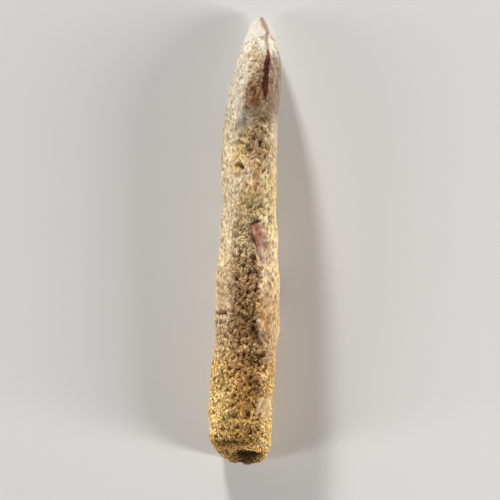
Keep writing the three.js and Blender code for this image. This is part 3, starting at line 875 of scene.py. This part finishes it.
# %% Masks for the materials and the grains
clear_of_table = eased(0.35, 0.8, surface[..., 2])
loose_cover = sand * eased(0.2, 0.5, sand) * (1 - 0.9 * slit_mask) * (1 - polish) * clear_of_table
on_crests, thick_sand = eased(0.3, 0.75, crest), eased(0.6, 0.95, sand)
masks = {
    "sand": thick,
    "red_enamel": red_enamel,
    "rusty": rusty,
    "faint_enamel": stripe_faint,
    "tip_enamel": tip_enamel,
    "polish": ridge_polish_and_highlight,
    "smooth": most(scar, oval),
    "streaky": 1 - oval,
    "speckled": (0.35 + 0.3 * eased(17, 10, Y)) * (1 - 0.5 * smooth_flank),
    "groove": np.clip(slit_mask + 0.9 * crack + 0.6 * chips, 0, 1),
    "height": np.clip(crest, 0, 1),
    "fine_cover": loose_cover * (0.15 + 0.85 * on_crests),
    "coarse_cover": loose_cover * on_crests * eased(14, 10, Y),
    "lump_cover": loose_cover * on_crests * thick_sand * eased(16, 12, Y) * (1 - flake_plate),
}
for name, grid in masks.items():
    layer = tooth_mesh.attributes.new(name, "FLOAT", "POINT")
    layer.data.foreach_set("value", by_point(grid).astype(np.float32))
# The pulp hollow is dark brown: dark matrix in it, and painted shade.
pulp_dark_and_shade = (np.clip(1.7 * pulp_mask - 0.3, 0, 1) * eased(7.6, 6.2, Z))[..., None]
end_tint = by_point(tint * (1 - pulp_dark_and_shade) + np.array(END_BROWN_AND_SHADE) * pulp_dark_and_shade)
end_tint = np.concatenate([end_tint, np.ones((len(end_tint), 1))], 1).astype(np.float32)
layer = tooth_mesh.attributes.new("tint", "FLOAT_COLOR", "POINT")
layer.data.foreach_set("color", end_tint.ravel())
print("masks:", ", ".join(masks))

# %% [markdown]
# ## Finishes shared by the tooth and the sand
#
# Sand, dentine and enamel share a few effects: a tone that changes from grain to grain, with
# painted shade in the gaps between grains, streaks along the tooth, hollows darkened with dirt and
# painted shade, crests made paler with painted light, drawn out specks, hairline cracks, and one
# finish laid over another with a ragged edge. Each effect is a shader node group with named
# inputs, built once and used with its own values. Painted textures could hold the same looks, but
# these work at any scale and need no file. All of them read a place in millimetres, so a grain
# size is a real size.

# %% Adding a node to the tree that is being built
tree = None  # the node tree being built, to which every helper adds its nodes


def add_node(kind, inputs=(), **settings):
    """Adds a node and gives its outputs. Inputs are linked from sockets or set to values."""
    node = tree.nodes.new(kind)
    for name, value in settings.items():
        setattr(node, name, value)
    for key, value in dict(inputs).items():
        socket = node.inputs[key]
        if isinstance(value, bpy.types.NodeSocket):
            tree.links.new(value, socket)
        else:
            socket.default_value = (*value, 1.0) if socket.type == "RGBA" else value
    return node.outputs


# %% Arithmetic in a node tree
def maths(operation, *values, clamp=False):
    return add_node(
        "ShaderNodeMath", enumerate(values), operation=operation, use_clamp=clamp
    )[0]


times, times_plus, plus, minus, over, higher = (
    partial(maths, operation)
    for operation in ("MULTIPLY", "MULTIPLY_ADD", "ADD", "SUBTRACT", "DIVIDE", "MAXIMUM")
)


def vector(operation, a, b):
    """A vector worked on by another one, or by a number where the operation is SCALE."""
    second = "Scale" if operation == "SCALE" else 1
    results = add_node("ShaderNodeVectorMath", {0: a, second: b}, operation=operation)
    return results["Value" if operation == "DOT_PRODUCT" else "Vector"]


def xyz(x, y, z):
    return add_node("ShaderNodeCombineXYZ", {"X": x, "Y": y, "Z": z})[0]


# %% Noise, ramps and mixing in a node tree
def noise(place, scale, detail, **more):
    inputs = {"Vector": place, "Scale": scale, "Detail": detail, **more}
    return add_node("ShaderNodeTexNoise", inputs)


def ramp(value, start, end):
    """0 at start, 1 at end, smooth between."""
    inputs = {"Value": value, "From Min": start, "From Max": end}
    return add_node("ShaderNodeMapRange", inputs, interpolation_type="SMOOTHSTEP")[0]


def mixed(factor, a, b, blend_type="MIX"):
    """Colour a, with colour b over it."""
    inputs = {0: factor, 6: a, 7: b}
    return add_node("ShaderNodeMix", inputs, data_type="RGBA", blend_type=blend_type)[2]


def mixed_number(factor, a, b):
    return add_node("ShaderNodeMix", {0: factor, 2: a, 3: b}, data_type="FLOAT")[0]


# %% Making and using groups
SOCKET_KINDS = {"colour": "NodeSocketColor", "place": "NodeSocketVector"}


def new_group(name, inputs):
    """Starts a shader group. Each input has a kind, or a number if it is one."""
    global tree
    tree = bpy.data.node_groups.new(name, "ShaderNodeTree")
    for label, kind in inputs.items():
        socket_type = SOCKET_KINDS.get(kind, "NodeSocketFloat")
        socket = tree.interface.new_socket(label, in_out="INPUT", socket_type=socket_type)
        if kind not in SOCKET_KINDS:
            socket.default_value = kind
    return tree.nodes.new("NodeGroupInput").outputs


def give(**results):
    """Ends a shader group with its results."""
    for label, value in results.items():
        socket_type = "NodeSocketColor" if value.type == "RGBA" else "NodeSocketFloat"
        tree.interface.new_socket(label, in_out="OUTPUT", socket_type=socket_type)
    group_output = tree.nodes.new("NodeGroupOutput").inputs
    for label, value in results.items():
        tree.links.new(value, group_output[label])
    print("shader group:", tree.name)


def use_group(name, inputs):
    return add_node("ShaderNodeGroup", inputs, node_tree=bpy.data.node_groups[name])


# %% Group: a tone for each grain, with painted shade in the gaps between grains
given = new_group("grain tone and gap shade", {"Place": "place", "Grain Size": 0.3, "Contrast": 0.4})
wobble = vector("SUBTRACT", noise(given["Place"], 2.2, 2.0)["Color"], (0.5, 0.5, 0.5))
moved = vector("ADD", given["Place"], vector("SCALE", wobble, 0.35))
cell_inputs = {"Vector": moved, "Scale": over(1.0, given["Grain Size"])}
cells = add_node("ShaderNodeTexVoronoi", cell_inputs)
cell_colour = add_node("ShaderNodeSeparateColor", {"Color": cells["Color"]})
# The gaps between grains are darker and their middles paler: painted shade and light.
gap = ramp(cells["Distance"], 0.75, 0.3)
tone_shift = plus(minus(cell_colour["Red"], 0.5), times_plus(gap, 0.9, -0.6))
give(Tone=plus(times(tone_shift, given["Contrast"]), 1.0), Height=gap)

# %% Group: streaks along the tooth
given = new_group(
    "lengthwise streaks", {"Place": "place", "Width": 0.3, "Length Share": 0.25, "Contrast": 0.3}
)
stretched = vector("MULTIPLY", given["Place"], xyz(1.0, given["Length Share"], 1.0))
streak_noise = noise(stretched, over(1.0, given["Width"]), 4.0)["Fac"]
streak_shift = times(minus(streak_noise, 0.5), given["Contrast"])
give(Tone=times_plus(streak_shift, 2.0, 1.0), Height=streak_noise)

# %% Group: dirt and painted shade in hollows, painted light on crests
given = new_group(
    "relief dirt and painted light",
    {"Colour": "colour", "Height": 0.5, "Hollow Dirt And Shade": "colour", "Crest Painted Light": "colour",
     "Strength": 1.0},
)
colour = given["Colour"]
for label, start, end in (("Hollow Dirt And Shade", 0.58, 0.1), ("Crest Painted Light", 0.45, 0.85)):
    share = times(ramp(given["Height"], start, end), given["Strength"])
    colour = mixed(share, colour, given[label], "MULTIPLY")
give(Colour=colour)

# %% Group: small dark specks, drawn out along one direction
given = new_group("drawn out specks", {"Place": "place", "Size": 0.3, "Lean": 0.5, "Amount": 0.5})
lean_inputs = {"Vector": given["Place"], "Angle": given["Lean"]}
leaning = add_node("ShaderNodeVectorRotate", lean_inputs, rotation_type="Z_AXIS")[0]
drawn_out = vector("MULTIPLY", leaning, (1.0, 0.55, 1.0))
speck_noise = noise(drawn_out, over(1.0, given["Size"]), 2.0, Roughness=0.6)["Fac"]
cover_shift = times_plus(noise(given["Place"], 0.55, 2.0)["Fac"], 0.3, -0.15)
level = times_plus(given["Amount"], -0.2, 0.62)
give(Mask=ramp(plus(speck_noise, cover_shift), level, plus(level, 0.1)))

# %% Group: hairline cracks that run lengthwise
given = new_group("hairline cracks", {"Place": "place", "Spacing": 1.2, "Width Share": 0.04})
hair_wander = vector("SCALE", noise(given["Place"], 1.6, 3.0)["Color"], 0.4)
hair_place = vector("MULTIPLY", vector("ADD", given["Place"], hair_wander), (1.0, 0.12, 1.0))
cell_inputs = {"Vector": hair_place, "Scale": over(1.0, given["Spacing"])}
cells = add_node("ShaderNodeTexVoronoi", cell_inputs, feature="DISTANCE_TO_EDGE")
hair_line = ramp(cells["Distance"], given["Width Share"], 0.0)
give(Mask=times(hair_line, ramp(noise(given["Place"], 0.9, 2.0)["Fac"], 0.46, 0.6)))

# %% Group: one finish over another, with a ragged edge
given = new_group(
    "ragged layer",
    {"Under": "colour", "Over": "colour", "Mask": 0.0, "Place": "place", "Raggedness": 0.5},
)
edge_shift = minus(noise(given["Place"], 4.5, 3.0)["Fac"], 0.5)
ragged_mask = ramp(times_plus(edge_shift, given["Raggedness"], given["Mask"]), 0.25, 0.75)
give(Colour=mixed(ragged_mask, given["Under"], given["Over"]), Mask=ragged_mask)

# %% [markdown]
# ## The tooth's finish
#
# Fossil dentine is cream to warm tan and nearly matt, with fine lengthwise streaks. Where sand
# has hardened on it the tooth is brown and rough, and golden near the root's end. What is left
# of the enamel is dark red and dull beside the ridge, and pale and a little glossy on the tip.
# One material holds all of these, because they run into each other, and the masks of the mesh
# choose between them at each point.

# %% Colours of the enamel, and of the dirt, painted shade and painted light on the relief
RED_ENAMEL = (0.050, 0.009, 0.003)
RUST_ENAMEL = (0.19, 0.050, 0.018)
SANDY_ENAMEL = (0.16, 0.085, 0.04)
FAINT_ENAMEL = (0.275, 0.165, 0.125)
PALE_ENAMEL = (0.60, 0.55, 0.47)
WARM_ENAMEL = (0.52, 0.45, 0.35)
HOLLOW_DIRT_AND_SHADE = (0.27, 0.152, 0.076)
CREST_PAINTED_LIGHT = (1.36, 1.34, 1.28)
SPECK_TINT = (0.50, 0.38, 0.27)
GROOVE_DIRT_AND_SHADE = (0.10, 0.054, 0.024)
HAIRLINE_TINT = (0.42, 0.30, 0.20)


# %% Starting a material, and reading what the mesh keeps
def new_material(name):
    """Starts a material; gives it, its shader's inputs and the place in millimetres."""
    global tree
    material = bpy.data.materials.new(name)
    material.use_nodes = True
    tree = material.node_tree
    place = vector("SCALE", add_node("ShaderNodeTexCoord")["Object"], 1 / MM)
    return material, tree.nodes["Principled BSDF"].inputs, place


def stored(name, output="Fac"):
    """What the mesh keeps under a name."""
    return add_node("ShaderNodeAttribute", attribute_name=name)[output]


# %% Toning, painted shade and light on the relief, and bump
def toned(colour, *tones):
    """The colour times each of the tones."""
    for tone in tones:
        grey = add_node("ShaderNodeCombineColor", {"Red": tone, "Green": tone, "Blue": tone})
        colour = mixed(1.0, colour, grey[0], "MULTIPLY")
    return colour


def dirt_shade_and_light(colour, height, strength, shade_and_dirt_tint):
    inputs = {"Colour": colour, "Height": height, "Strength": strength}
    inputs |= {"Hollow Dirt And Shade": shade_and_dirt_tint, "Crest Painted Light": CREST_PAINTED_LIGHT}
    return use_group("relief dirt and painted light", inputs)["Colour"]


def bumped(shader, height, strength, distance_mm):
    inputs = {"Height": height, "Strength": strength, "Distance": distance_mm * MM}
    tree.links.new(add_node("ShaderNodeBump", inputs)["Normal"], shader["Normal"])


# %% Tooth material: dusty dentine and hardened sand
fossil, shader, place = new_material("fossil tooth")
mask = {name: stored(name) for name in masks if not name.endswith("cover")}
tint_colour = stored("tint", "Color")


def effect(group, **inputs):
    """A shared effect at this material's place."""
    inputs = {label.replace("_", " "): value for label, value in inputs.items()}
    return use_group(group, {"Place": place, **inputs})


streak = effect("lengthwise streaks", Width=0.26, Length_Share=0.2, Contrast=0.38)
dash = effect("lengthwise streaks", Width=0.12, Length_Share=0.35, Contrast=0.95)
grain = effect("grain tone and gap shade", Grain_Size=0.3, Contrast=0.55)
finer_grain = effect("grain tone and gap shade", Grain_Size=0.16, Contrast=0.35)
speck = effect("drawn out specks", Size=0.3, Lean=0.6, Amount=mask["speckled"])["Mask"]
hairline = effect("hairline cracks", Spacing=1.3, Width_Share=0.045)["Mask"]
blotch = ramp(noise(place, 1.1, 3.0)["Fac"], 0.3, 0.7)
blotch_tone = times_plus(blotch, 0.2, 0.9)
dentine = toned(tint_colour, streak["Tone"], dash["Tone"], blotch_tone)
dentine = mixed(times(speck, mask["speckled"]), dentine, SPECK_TINT, "MULTIPLY")
dentine = mixed(times(hairline, 0.75), dentine, HAIRLINE_TINT, "MULTIPLY")
crusted = toned(tint_colour, grain["Tone"], finer_grain["Tone"], blotch_tone)
colour = mixed(mask["sand"], dentine, crusted)
weak_dash = times_plus(dash["Tone"], mask["streaky"], minus(1.0, mask["streaky"]))
colour = mixed(mask["smooth"], colour, toned(tint_colour, blotch_tone, weak_dash))
print("nodes after dentine and sand:", len(tree.nodes))

# %% Tooth material: enamel
red = mixed(mask["rusty"], RED_ENAMEL, RUST_ENAMEL)
red = toned(red, dash["Tone"], streak["Tone"])
red = mixed(ramp(dash["Height"], 0.58, 0.72), red, SANDY_ENAMEL)
pale = mixed(times(blotch, 0.45), PALE_ENAMEL, WARM_ENAMEL)
pale_tones = times_plus(streak["Tone"], 0.7, 0.3), times_plus(dash["Tone"], 0.4, 0.6)
colour = mixed(mask["tip_enamel"], colour, toned(pale, *pale_tones))
# Pale polish on both sides of the ridge, painted as a highlight.
colour = mixed(mask["polish"], colour, PALE_ENAMEL)
colour = mixed(times(mask["faint_enamel"], 0.9), colour, toned(FAINT_ENAMEL, streak["Tone"]))
red_layer = effect(
    "ragged layer", Under=colour, Over=red, Mask=mask["red_enamel"], Raggedness=0.9
)
print("nodes after enamel:", len(tree.nodes))

# %% Tooth material: dirt and painted shade in hollows and grooves, painted light on crests
glazed = higher(mask["tip_enamel"], mask["polish"])
not_red = minus(1.0, higher(red_layer["Mask"], mask["faint_enamel"]), clamp=True)
relief_shading_strength = times_plus(mask["sand"], 0.45, 0.55)
for share in (not_red, minus(1.0, glazed), times_plus(mask["smooth"], -0.6, 1.0)):
    relief_shading_strength = times(relief_shading_strength, share)
# Hollows get dirt and painted shade and crests a painted highlight, strongest in the sand.
colour = dirt_shade_and_light(red_layer["Colour"], mask["height"], relief_shading_strength, HOLLOW_DIRT_AND_SHADE)
# Slits, pits and the glued break are painted dark brown: dirt and painted shade.
colour = mixed(times(mask["groove"], 0.85), colour, GROOVE_DIRT_AND_SHADE)
tree.links.new(colour, shader["Base Color"])
print("nodes after hollows and grooves:", len(tree.nodes))

# %% Tooth material: gloss and bump
glossy = times(glazed, minus(1.0, mask["groove"], clamp=True))
roughness = mixed_number(mask["sand"], 0.62, 0.92)
for share, level in ((mask["smooth"], 0.52), (glossy, 0.34), (red_layer["Mask"], 0.8)):
    roughness = mixed_number(share, roughness, level)
tree.links.new(times(roughness, streak["Tone"], clamp=True), shader["Roughness"])
tree.links.new(times(glossy, 0.25), shader["Coat Weight"])
shader["Coat Roughness"].default_value = 0.25
shader["Specular IOR Level"].default_value = 0.08

not_worked = minus(not_red, mask["smooth"], clamp=True)
bare_height = times(plus(streak["Height"], dash["Height"]), 0.5)
bare_height = minus(bare_height, times(times(hairline, 0.5), not_worked))
grain_height = times_plus(finer_grain["Height"], 0.5, grain["Height"])
bump_height = mixed_number(mask["sand"], bare_height, grain_height)
bumped(shader, times(bump_height, minus(1.0, times(glossy, 0.7))), 0.8, 0.11)
tooth_mesh.materials.append(fossil)
print("tooth material nodes:", len(tree.nodes))

# %% [markdown]
# ## Grains of sand
#
# Under the lens the crust is single grains of quartz stuck side by side: mostly honey coloured,
# some clear and pale, some dark. They could be drawn with bump alone, but real grains catch the
# light, break up the outline and cast small shadows. Geometry Nodes scatter small angular
# splinters over the crust and a few rounded grains among them, in three sizes. The mesh's masks
# say where they lie thickest, and each grain keeps the tint of its place, so its material can
# read it.

# %% Grain material
GRAIN_DARK = (0.13, 0.07, 0.032)
FOOT_CLAY_AND_SHADE = (0.34, 0.22, 0.13)
dark_below = 0.05
loose_sand, shader, place = new_material("sand grains")
tone = stored("tone")
grain_colour = toned(stored("tint", "Color"), times_plus(tone, 0.4, 0.85))
is_dark = maths("LESS_THAN", tone, dark_below)
grain_colour = mixed(times(is_dark, 0.7), grain_colour, GRAIN_DARK)
# Each grain is darker at its foot, with brown clay and painted shade, and paler on top, a painted
# highlight.
grain_colour = dirt_shade_and_light(grain_colour, stored("above"), 0.9, FOOT_CLAY_AND_SHADE)
tree.links.new(grain_colour, shader["Base Color"])
tree.links.new(times_plus(tone, -0.2, 0.92), shader["Roughness"])
shader["Specular IOR Level"].default_value = 0.2
bumped(shader, noise(place, 14.0, 2.0)["Fac"], 0.5, 0.02)
print("grain material nodes:", len(tree.nodes))

# %% Grain scatter: the tree and its inputs
tree = bpy.data.node_groups.new("scatter grains", "GeometryNodeTree")
scatter_grains = tree
scatter_inputs = {
    "Tooth": "Geometry", "Grain Radius": "Float", "Closest": "Float", "Density": "Float",
    "Cover Mask": "String", "Length": "Float", "Lean": "Float", "Tumble": "Float",
    "Dent": "Float", "Seed": "Int", "Rounded": "Bool", "Material": "Material",
}
scatter_sockets = {}
for label, kind in scatter_inputs.items():
    socket = tree.interface.new_socket(label, in_out="INPUT", socket_type="NodeSocket" + kind)
    scatter_sockets[label] = socket.identifier
tree.interface.new_socket("Grains", in_out="OUTPUT", socket_type="NodeSocketGeometry")
given = tree.nodes.new("NodeGroupInput").outputs
radius = given["Grain Radius"]
print("inputs of the scatter tree:", ", ".join(scatter_inputs))


# %% Grain scatter: values that the points keep
def keep(geometry, name, value, data_type="FLOAT_VECTOR"):
    """Stores a value with each point."""
    inputs = {"Geometry": geometry, "Name": name, "Value": value}
    settings = {"data_type": data_type, "domain": "POINT"}
    return add_node("GeometryNodeStoreNamedAttribute", inputs, **settings)[0]


def kept(name, data_type="FLOAT_VECTOR"):
    inputs = {"Name": name}
    return add_node("GeometryNodeInputNamedAttribute", inputs, data_type=data_type)["Attribute"]


def drawn(low, high, seed):
    """A direction drawn by lot for each point."""
    inputs = {0: low, 1: high, "Seed": seed}
    return add_node("FunctionNodeRandomValue", inputs, data_type="FLOAT_VECTOR")[0]


# %% Grain scatter: points that keep their foot, their upward direction and a tone
cover = kept(given["Cover Mask"], "FLOAT")
spots = add_node(
    "GeometryNodeDistributePointsOnFaces",
    {"Mesh": given["Tooth"], "Distance Min": given["Closest"], "Density Max": given["Density"],
     "Density Factor": cover, "Seed": given["Seed"]},
    distribute_method="POISSON",
)
tone_inputs = {2: 0.0, 3: 1.0, "Seed": given["Seed"]}
tone = add_node("FunctionNodeRandomValue", tone_inputs, data_type="FLOAT")[1]
here = add_node("GeometryNodeInputPosition")[0]
points = keep(spots["Points"], "tone", tone, "FLOAT")
points = keep(points, "foot", here)
points = keep(points, "up", spots["Normal"])
print("nodes after the points:", len(tree.nodes))

# %% Grain scatter: a turn about the upward direction, a tumble and a size
up_inputs = {"Vector": spots["Normal"]}
upright = add_node("FunctionNodeAlignRotationToVector", up_inputs, axis="Z")[0]
tumble = vector("SCALE", drawn((-1, -1, -0.5), (1, 1, 0.5), 11), given["Tumble"])
tumble = vector("ADD", tumble, xyz(0.0, 0.0, given["Lean"]))
turn_inputs = {"Rotation": upright, "Rotate By": tumble}
turn = add_node("FunctionNodeRotateRotation", turn_inputs, rotation_space="LOCAL")[0]
stretch = drawn((0.65, 0.65, 0.5), (1.3, 1.3, 0.85), 12)
stretch = vector("MULTIPLY", stretch, xyz(1.0, given["Length"], 1.0))
stretch = vector("SCALE", stretch, radius)
print("nodes after turn and size:", len(tree.nodes))

# %% Grain scatter: one grain on each point
angular = add_node("GeometryNodeMeshIcoSphere", {"Radius": 1.0, "Subdivisions": 1})["Mesh"]
ball = add_node("GeometryNodeMeshUVSphere", {"Radius": 1.0, "Segments": 8, "Rings": 4})["Mesh"]
rounded = add_node("GeometryNodeTriangulate", {"Mesh": ball})[0]
shape_inputs = {"Switch": given["Rounded"], "False": angular, "True": rounded}
shape = add_node("GeometryNodeSwitch", shape_inputs, input_type="GEOMETRY")[0]
grain_inputs = {"Points": points, "Instance": shape, "Rotation": turn, "Scale": stretch}
grains = add_node("GeometryNodeInstanceOnPoints", grain_inputs)[0]
real = add_node("GeometryNodeRealizeInstances", {"Geometry": grains})[0]
print("nodes after the grains:", len(tree.nodes))

# %% Grain scatter: knock the grains out of shape, sink them and finish
dent_inputs = {"Scale": over(0.62, radius), "Detail": 0.0}
dent = add_node("ShaderNodeTexNoise", dent_inputs)["Color"]
dent = vector("SUBTRACT", dent, (0.5, 0.5, 0.5))
dent = vector("SCALE", dent, times(radius, given["Dent"]))
sink = vector("SCALE", kept("up"), times(radius, -0.3))
move_inputs = {"Geometry": real, "Offset": vector("ADD", dent, sink)}
real = add_node("GeometryNodeSetPosition", move_inputs)[0]
# How far each point of a grain stands over its foot, in grain radii.
rise = vector("DOT_PRODUCT", vector("SUBTRACT", here, kept("foot")), kept("up"))
real = keep(real, "above", over(rise, radius), "FLOAT")
for name in ("foot", "up"):
    real = add_node("GeometryNodeRemoveAttribute", {"Geometry": real, "Name": name})[0]
smooth_inputs = {"Geometry": real, "Shade Smooth": given["Rounded"]}
real = add_node("GeometryNodeSetShadeSmooth", smooth_inputs)[0]
finish_inputs = {"Geometry": real, "Material": given["Material"]}
real = add_node("GeometryNodeSetMaterial", finish_inputs)[0]
tree.links.new(real, tree.nodes.new("NodeGroupOutput").inputs["Grains"])
print("scatter nodes:", len(tree.nodes))

# %% An unwrap for loose grains
ANGULAR_FACES, ROUNDED_FACES = 20, 48


def lay_out_grains(mesh, faces_each):
    """Gives each grain a small square of its own in the unwrap, with a triangle for each face."""
    corners = np.arange(len(mesh.loops))
    face = corners // 3
    grain, face_of_grain = face // faces_each, face % faces_each
    across = math.ceil(math.sqrt(grain[-1] + 1))
    faces_across = math.ceil(math.sqrt(faces_each))
    corner_places = np.array([(0.15, 0.15), (0.85, 0.15), (0.5, 0.85)])
    triangle = np.stack([face_of_grain % faces_across, face_of_grain // faces_across], -1)
    square = np.stack([grain % across, grain // across], -1)
    uv = (square + (triangle + corner_places[corners % 3]) / faces_across) / across
    mesh.uv_layers.new(name="OFBake").data.foreach_set("uv", uv.astype(np.float32).ravel())


# %% Scattering one size of grain and keeping it as a plain mesh
def scatter(name, radius_mm, closest_mm, per_mm2, **values):
    """One piece of separate grains over the tooth, with the tree's inputs by name."""
    host = bpy.data.objects.new(name, tooth_mesh.copy())
    bpy.context.scene.collection.objects.link(host)
    modifier = host.modifiers.new("grains", "NODES")
    modifier.node_group = scatter_grains
    values |= {"grain_radius": radius_mm * MM, "closest": closest_mm * MM}
    values |= {"density": per_mm2 / MM**2, "material": loose_sand}
    for label, value in values.items():
        modifier[scatter_sockets[label.replace("_", " ").title()]] = value
    evaluated = host.evaluated_get(bpy.context.evaluated_depsgraph_get())
    mesh = bpy.data.meshes.new_from_object(evaluated)
    host.modifiers.remove(modifier)
    host.data = mesh
    mesh.name = name
    faces_each = ROUNDED_FACES if values.get("rounded") else ANGULAR_FACES
    lay_out_grains(mesh, faces_each)
    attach(host, "root")
    triangles = len(mesh.polygons)
    print(name, "has", triangles // faces_each, "grains,", triangles, "triangles")


# %% Three sizes of sand
scatter(
    "fine_sand", 0.09, 0.14, 18.0, cover_mask="fine_cover",
    length=1.0, lean=0.0, tumble=3.1, dent=1.3, seed=3,
)
scatter(
    "coarse_sand", 0.14, 0.24, 10.0, cover_mask="coarse_cover",
    length=1.2, lean=-0.75, tumble=1.6, dent=1.3, seed=4,
)
scatter(
    "sand_lumps", 0.21, 0.42, 3.5, cover_mask="lump_cover",
    length=1.35, lean=-0.75, tumble=0.6, dent=1.3, rounded=True, seed=5,
)

# %% [markdown]
# ## Table and light
#
# The tooth lies on a plain pale table. The main soft light stands beyond the tip, a little to the
# left, and draws the relief along the tooth. Two weaker lights stand low, one beside each flank,
# so both flanks are bright and the grains show, and a dim pale surrounding keeps the shadows open.
# A single lamp would draw the relief harder, but it would lose one flank in shade.

# %% Table
table_reach = 2.0
table_mesh = bpy.data.meshes.new("table")
table_corners = [(-1, -1, 0), (1, -1, 0), (1, 1, 0), (-1, 1, 0)]
table_mesh.from_pydata((table_reach * np.array(table_corners)).tolist(), [], [(0, 1, 2, 3)])
table = bpy.data.objects.new("table", table_mesh)
table.location.z = -0.02 * MM
bpy.context.scene.collection.objects.link(table)
table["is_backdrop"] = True
table_paint, shader, place = new_material("pale table")
shader["Base Color"].default_value = (0.62, 0.61, 0.59, 1)
shader["Roughness"].default_value = 0.85
table_mesh.materials.append(table_paint)
print("table side in m:", 2 * table_reach)

# %% Light
scene = bpy.context.scene
scene.view_settings.view_transform = "Standard"
studio = bpy.data.worlds.new("studio")
scene.world = studio
studio.use_nodes = True
surrounding = studio.node_tree.nodes["Background"].inputs
surrounding["Color"].default_value = (1.0, 0.99, 0.97, 1)
surrounding["Strength"].default_value = 0.11


def softbox(name, place, size, power):
    """A rectangular light at a place, in metres, turned towards the tooth."""
    light = bpy.data.lights.new(name, "AREA")
    light.shape = "RECTANGLE"
    light.size, light.size_y = size
    light.energy = power
    lamp = bpy.data.objects.new(name, light)
    lamp.location = place
    lamp.rotation_euler = (-Vector(place)).to_track_quat("-Z", "Y").to_euler()
    scene.collection.objects.link(lamp)


softbox("key softbox", (-0.26, 0.72, 0.32), (0.10, 0.09), 7.6)
softbox("left softbox", (-0.32, -0.10, 0.11), (0.05, 0.26), 0.78)
softbox("right softbox", (0.34, -0.08, 0.11), (0.05, 0.28), 1.76)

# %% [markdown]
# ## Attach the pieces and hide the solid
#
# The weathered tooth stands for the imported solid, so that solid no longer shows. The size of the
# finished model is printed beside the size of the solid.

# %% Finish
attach(tooth, "root")
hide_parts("tooth")
size = {"cad": [list(v) for v in cad_box], "visual": [list(v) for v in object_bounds()]}
for low, high in size.values():
    print("box in mm:", [round((b - a) / MM, 2) for a, b in zip(low, high)])
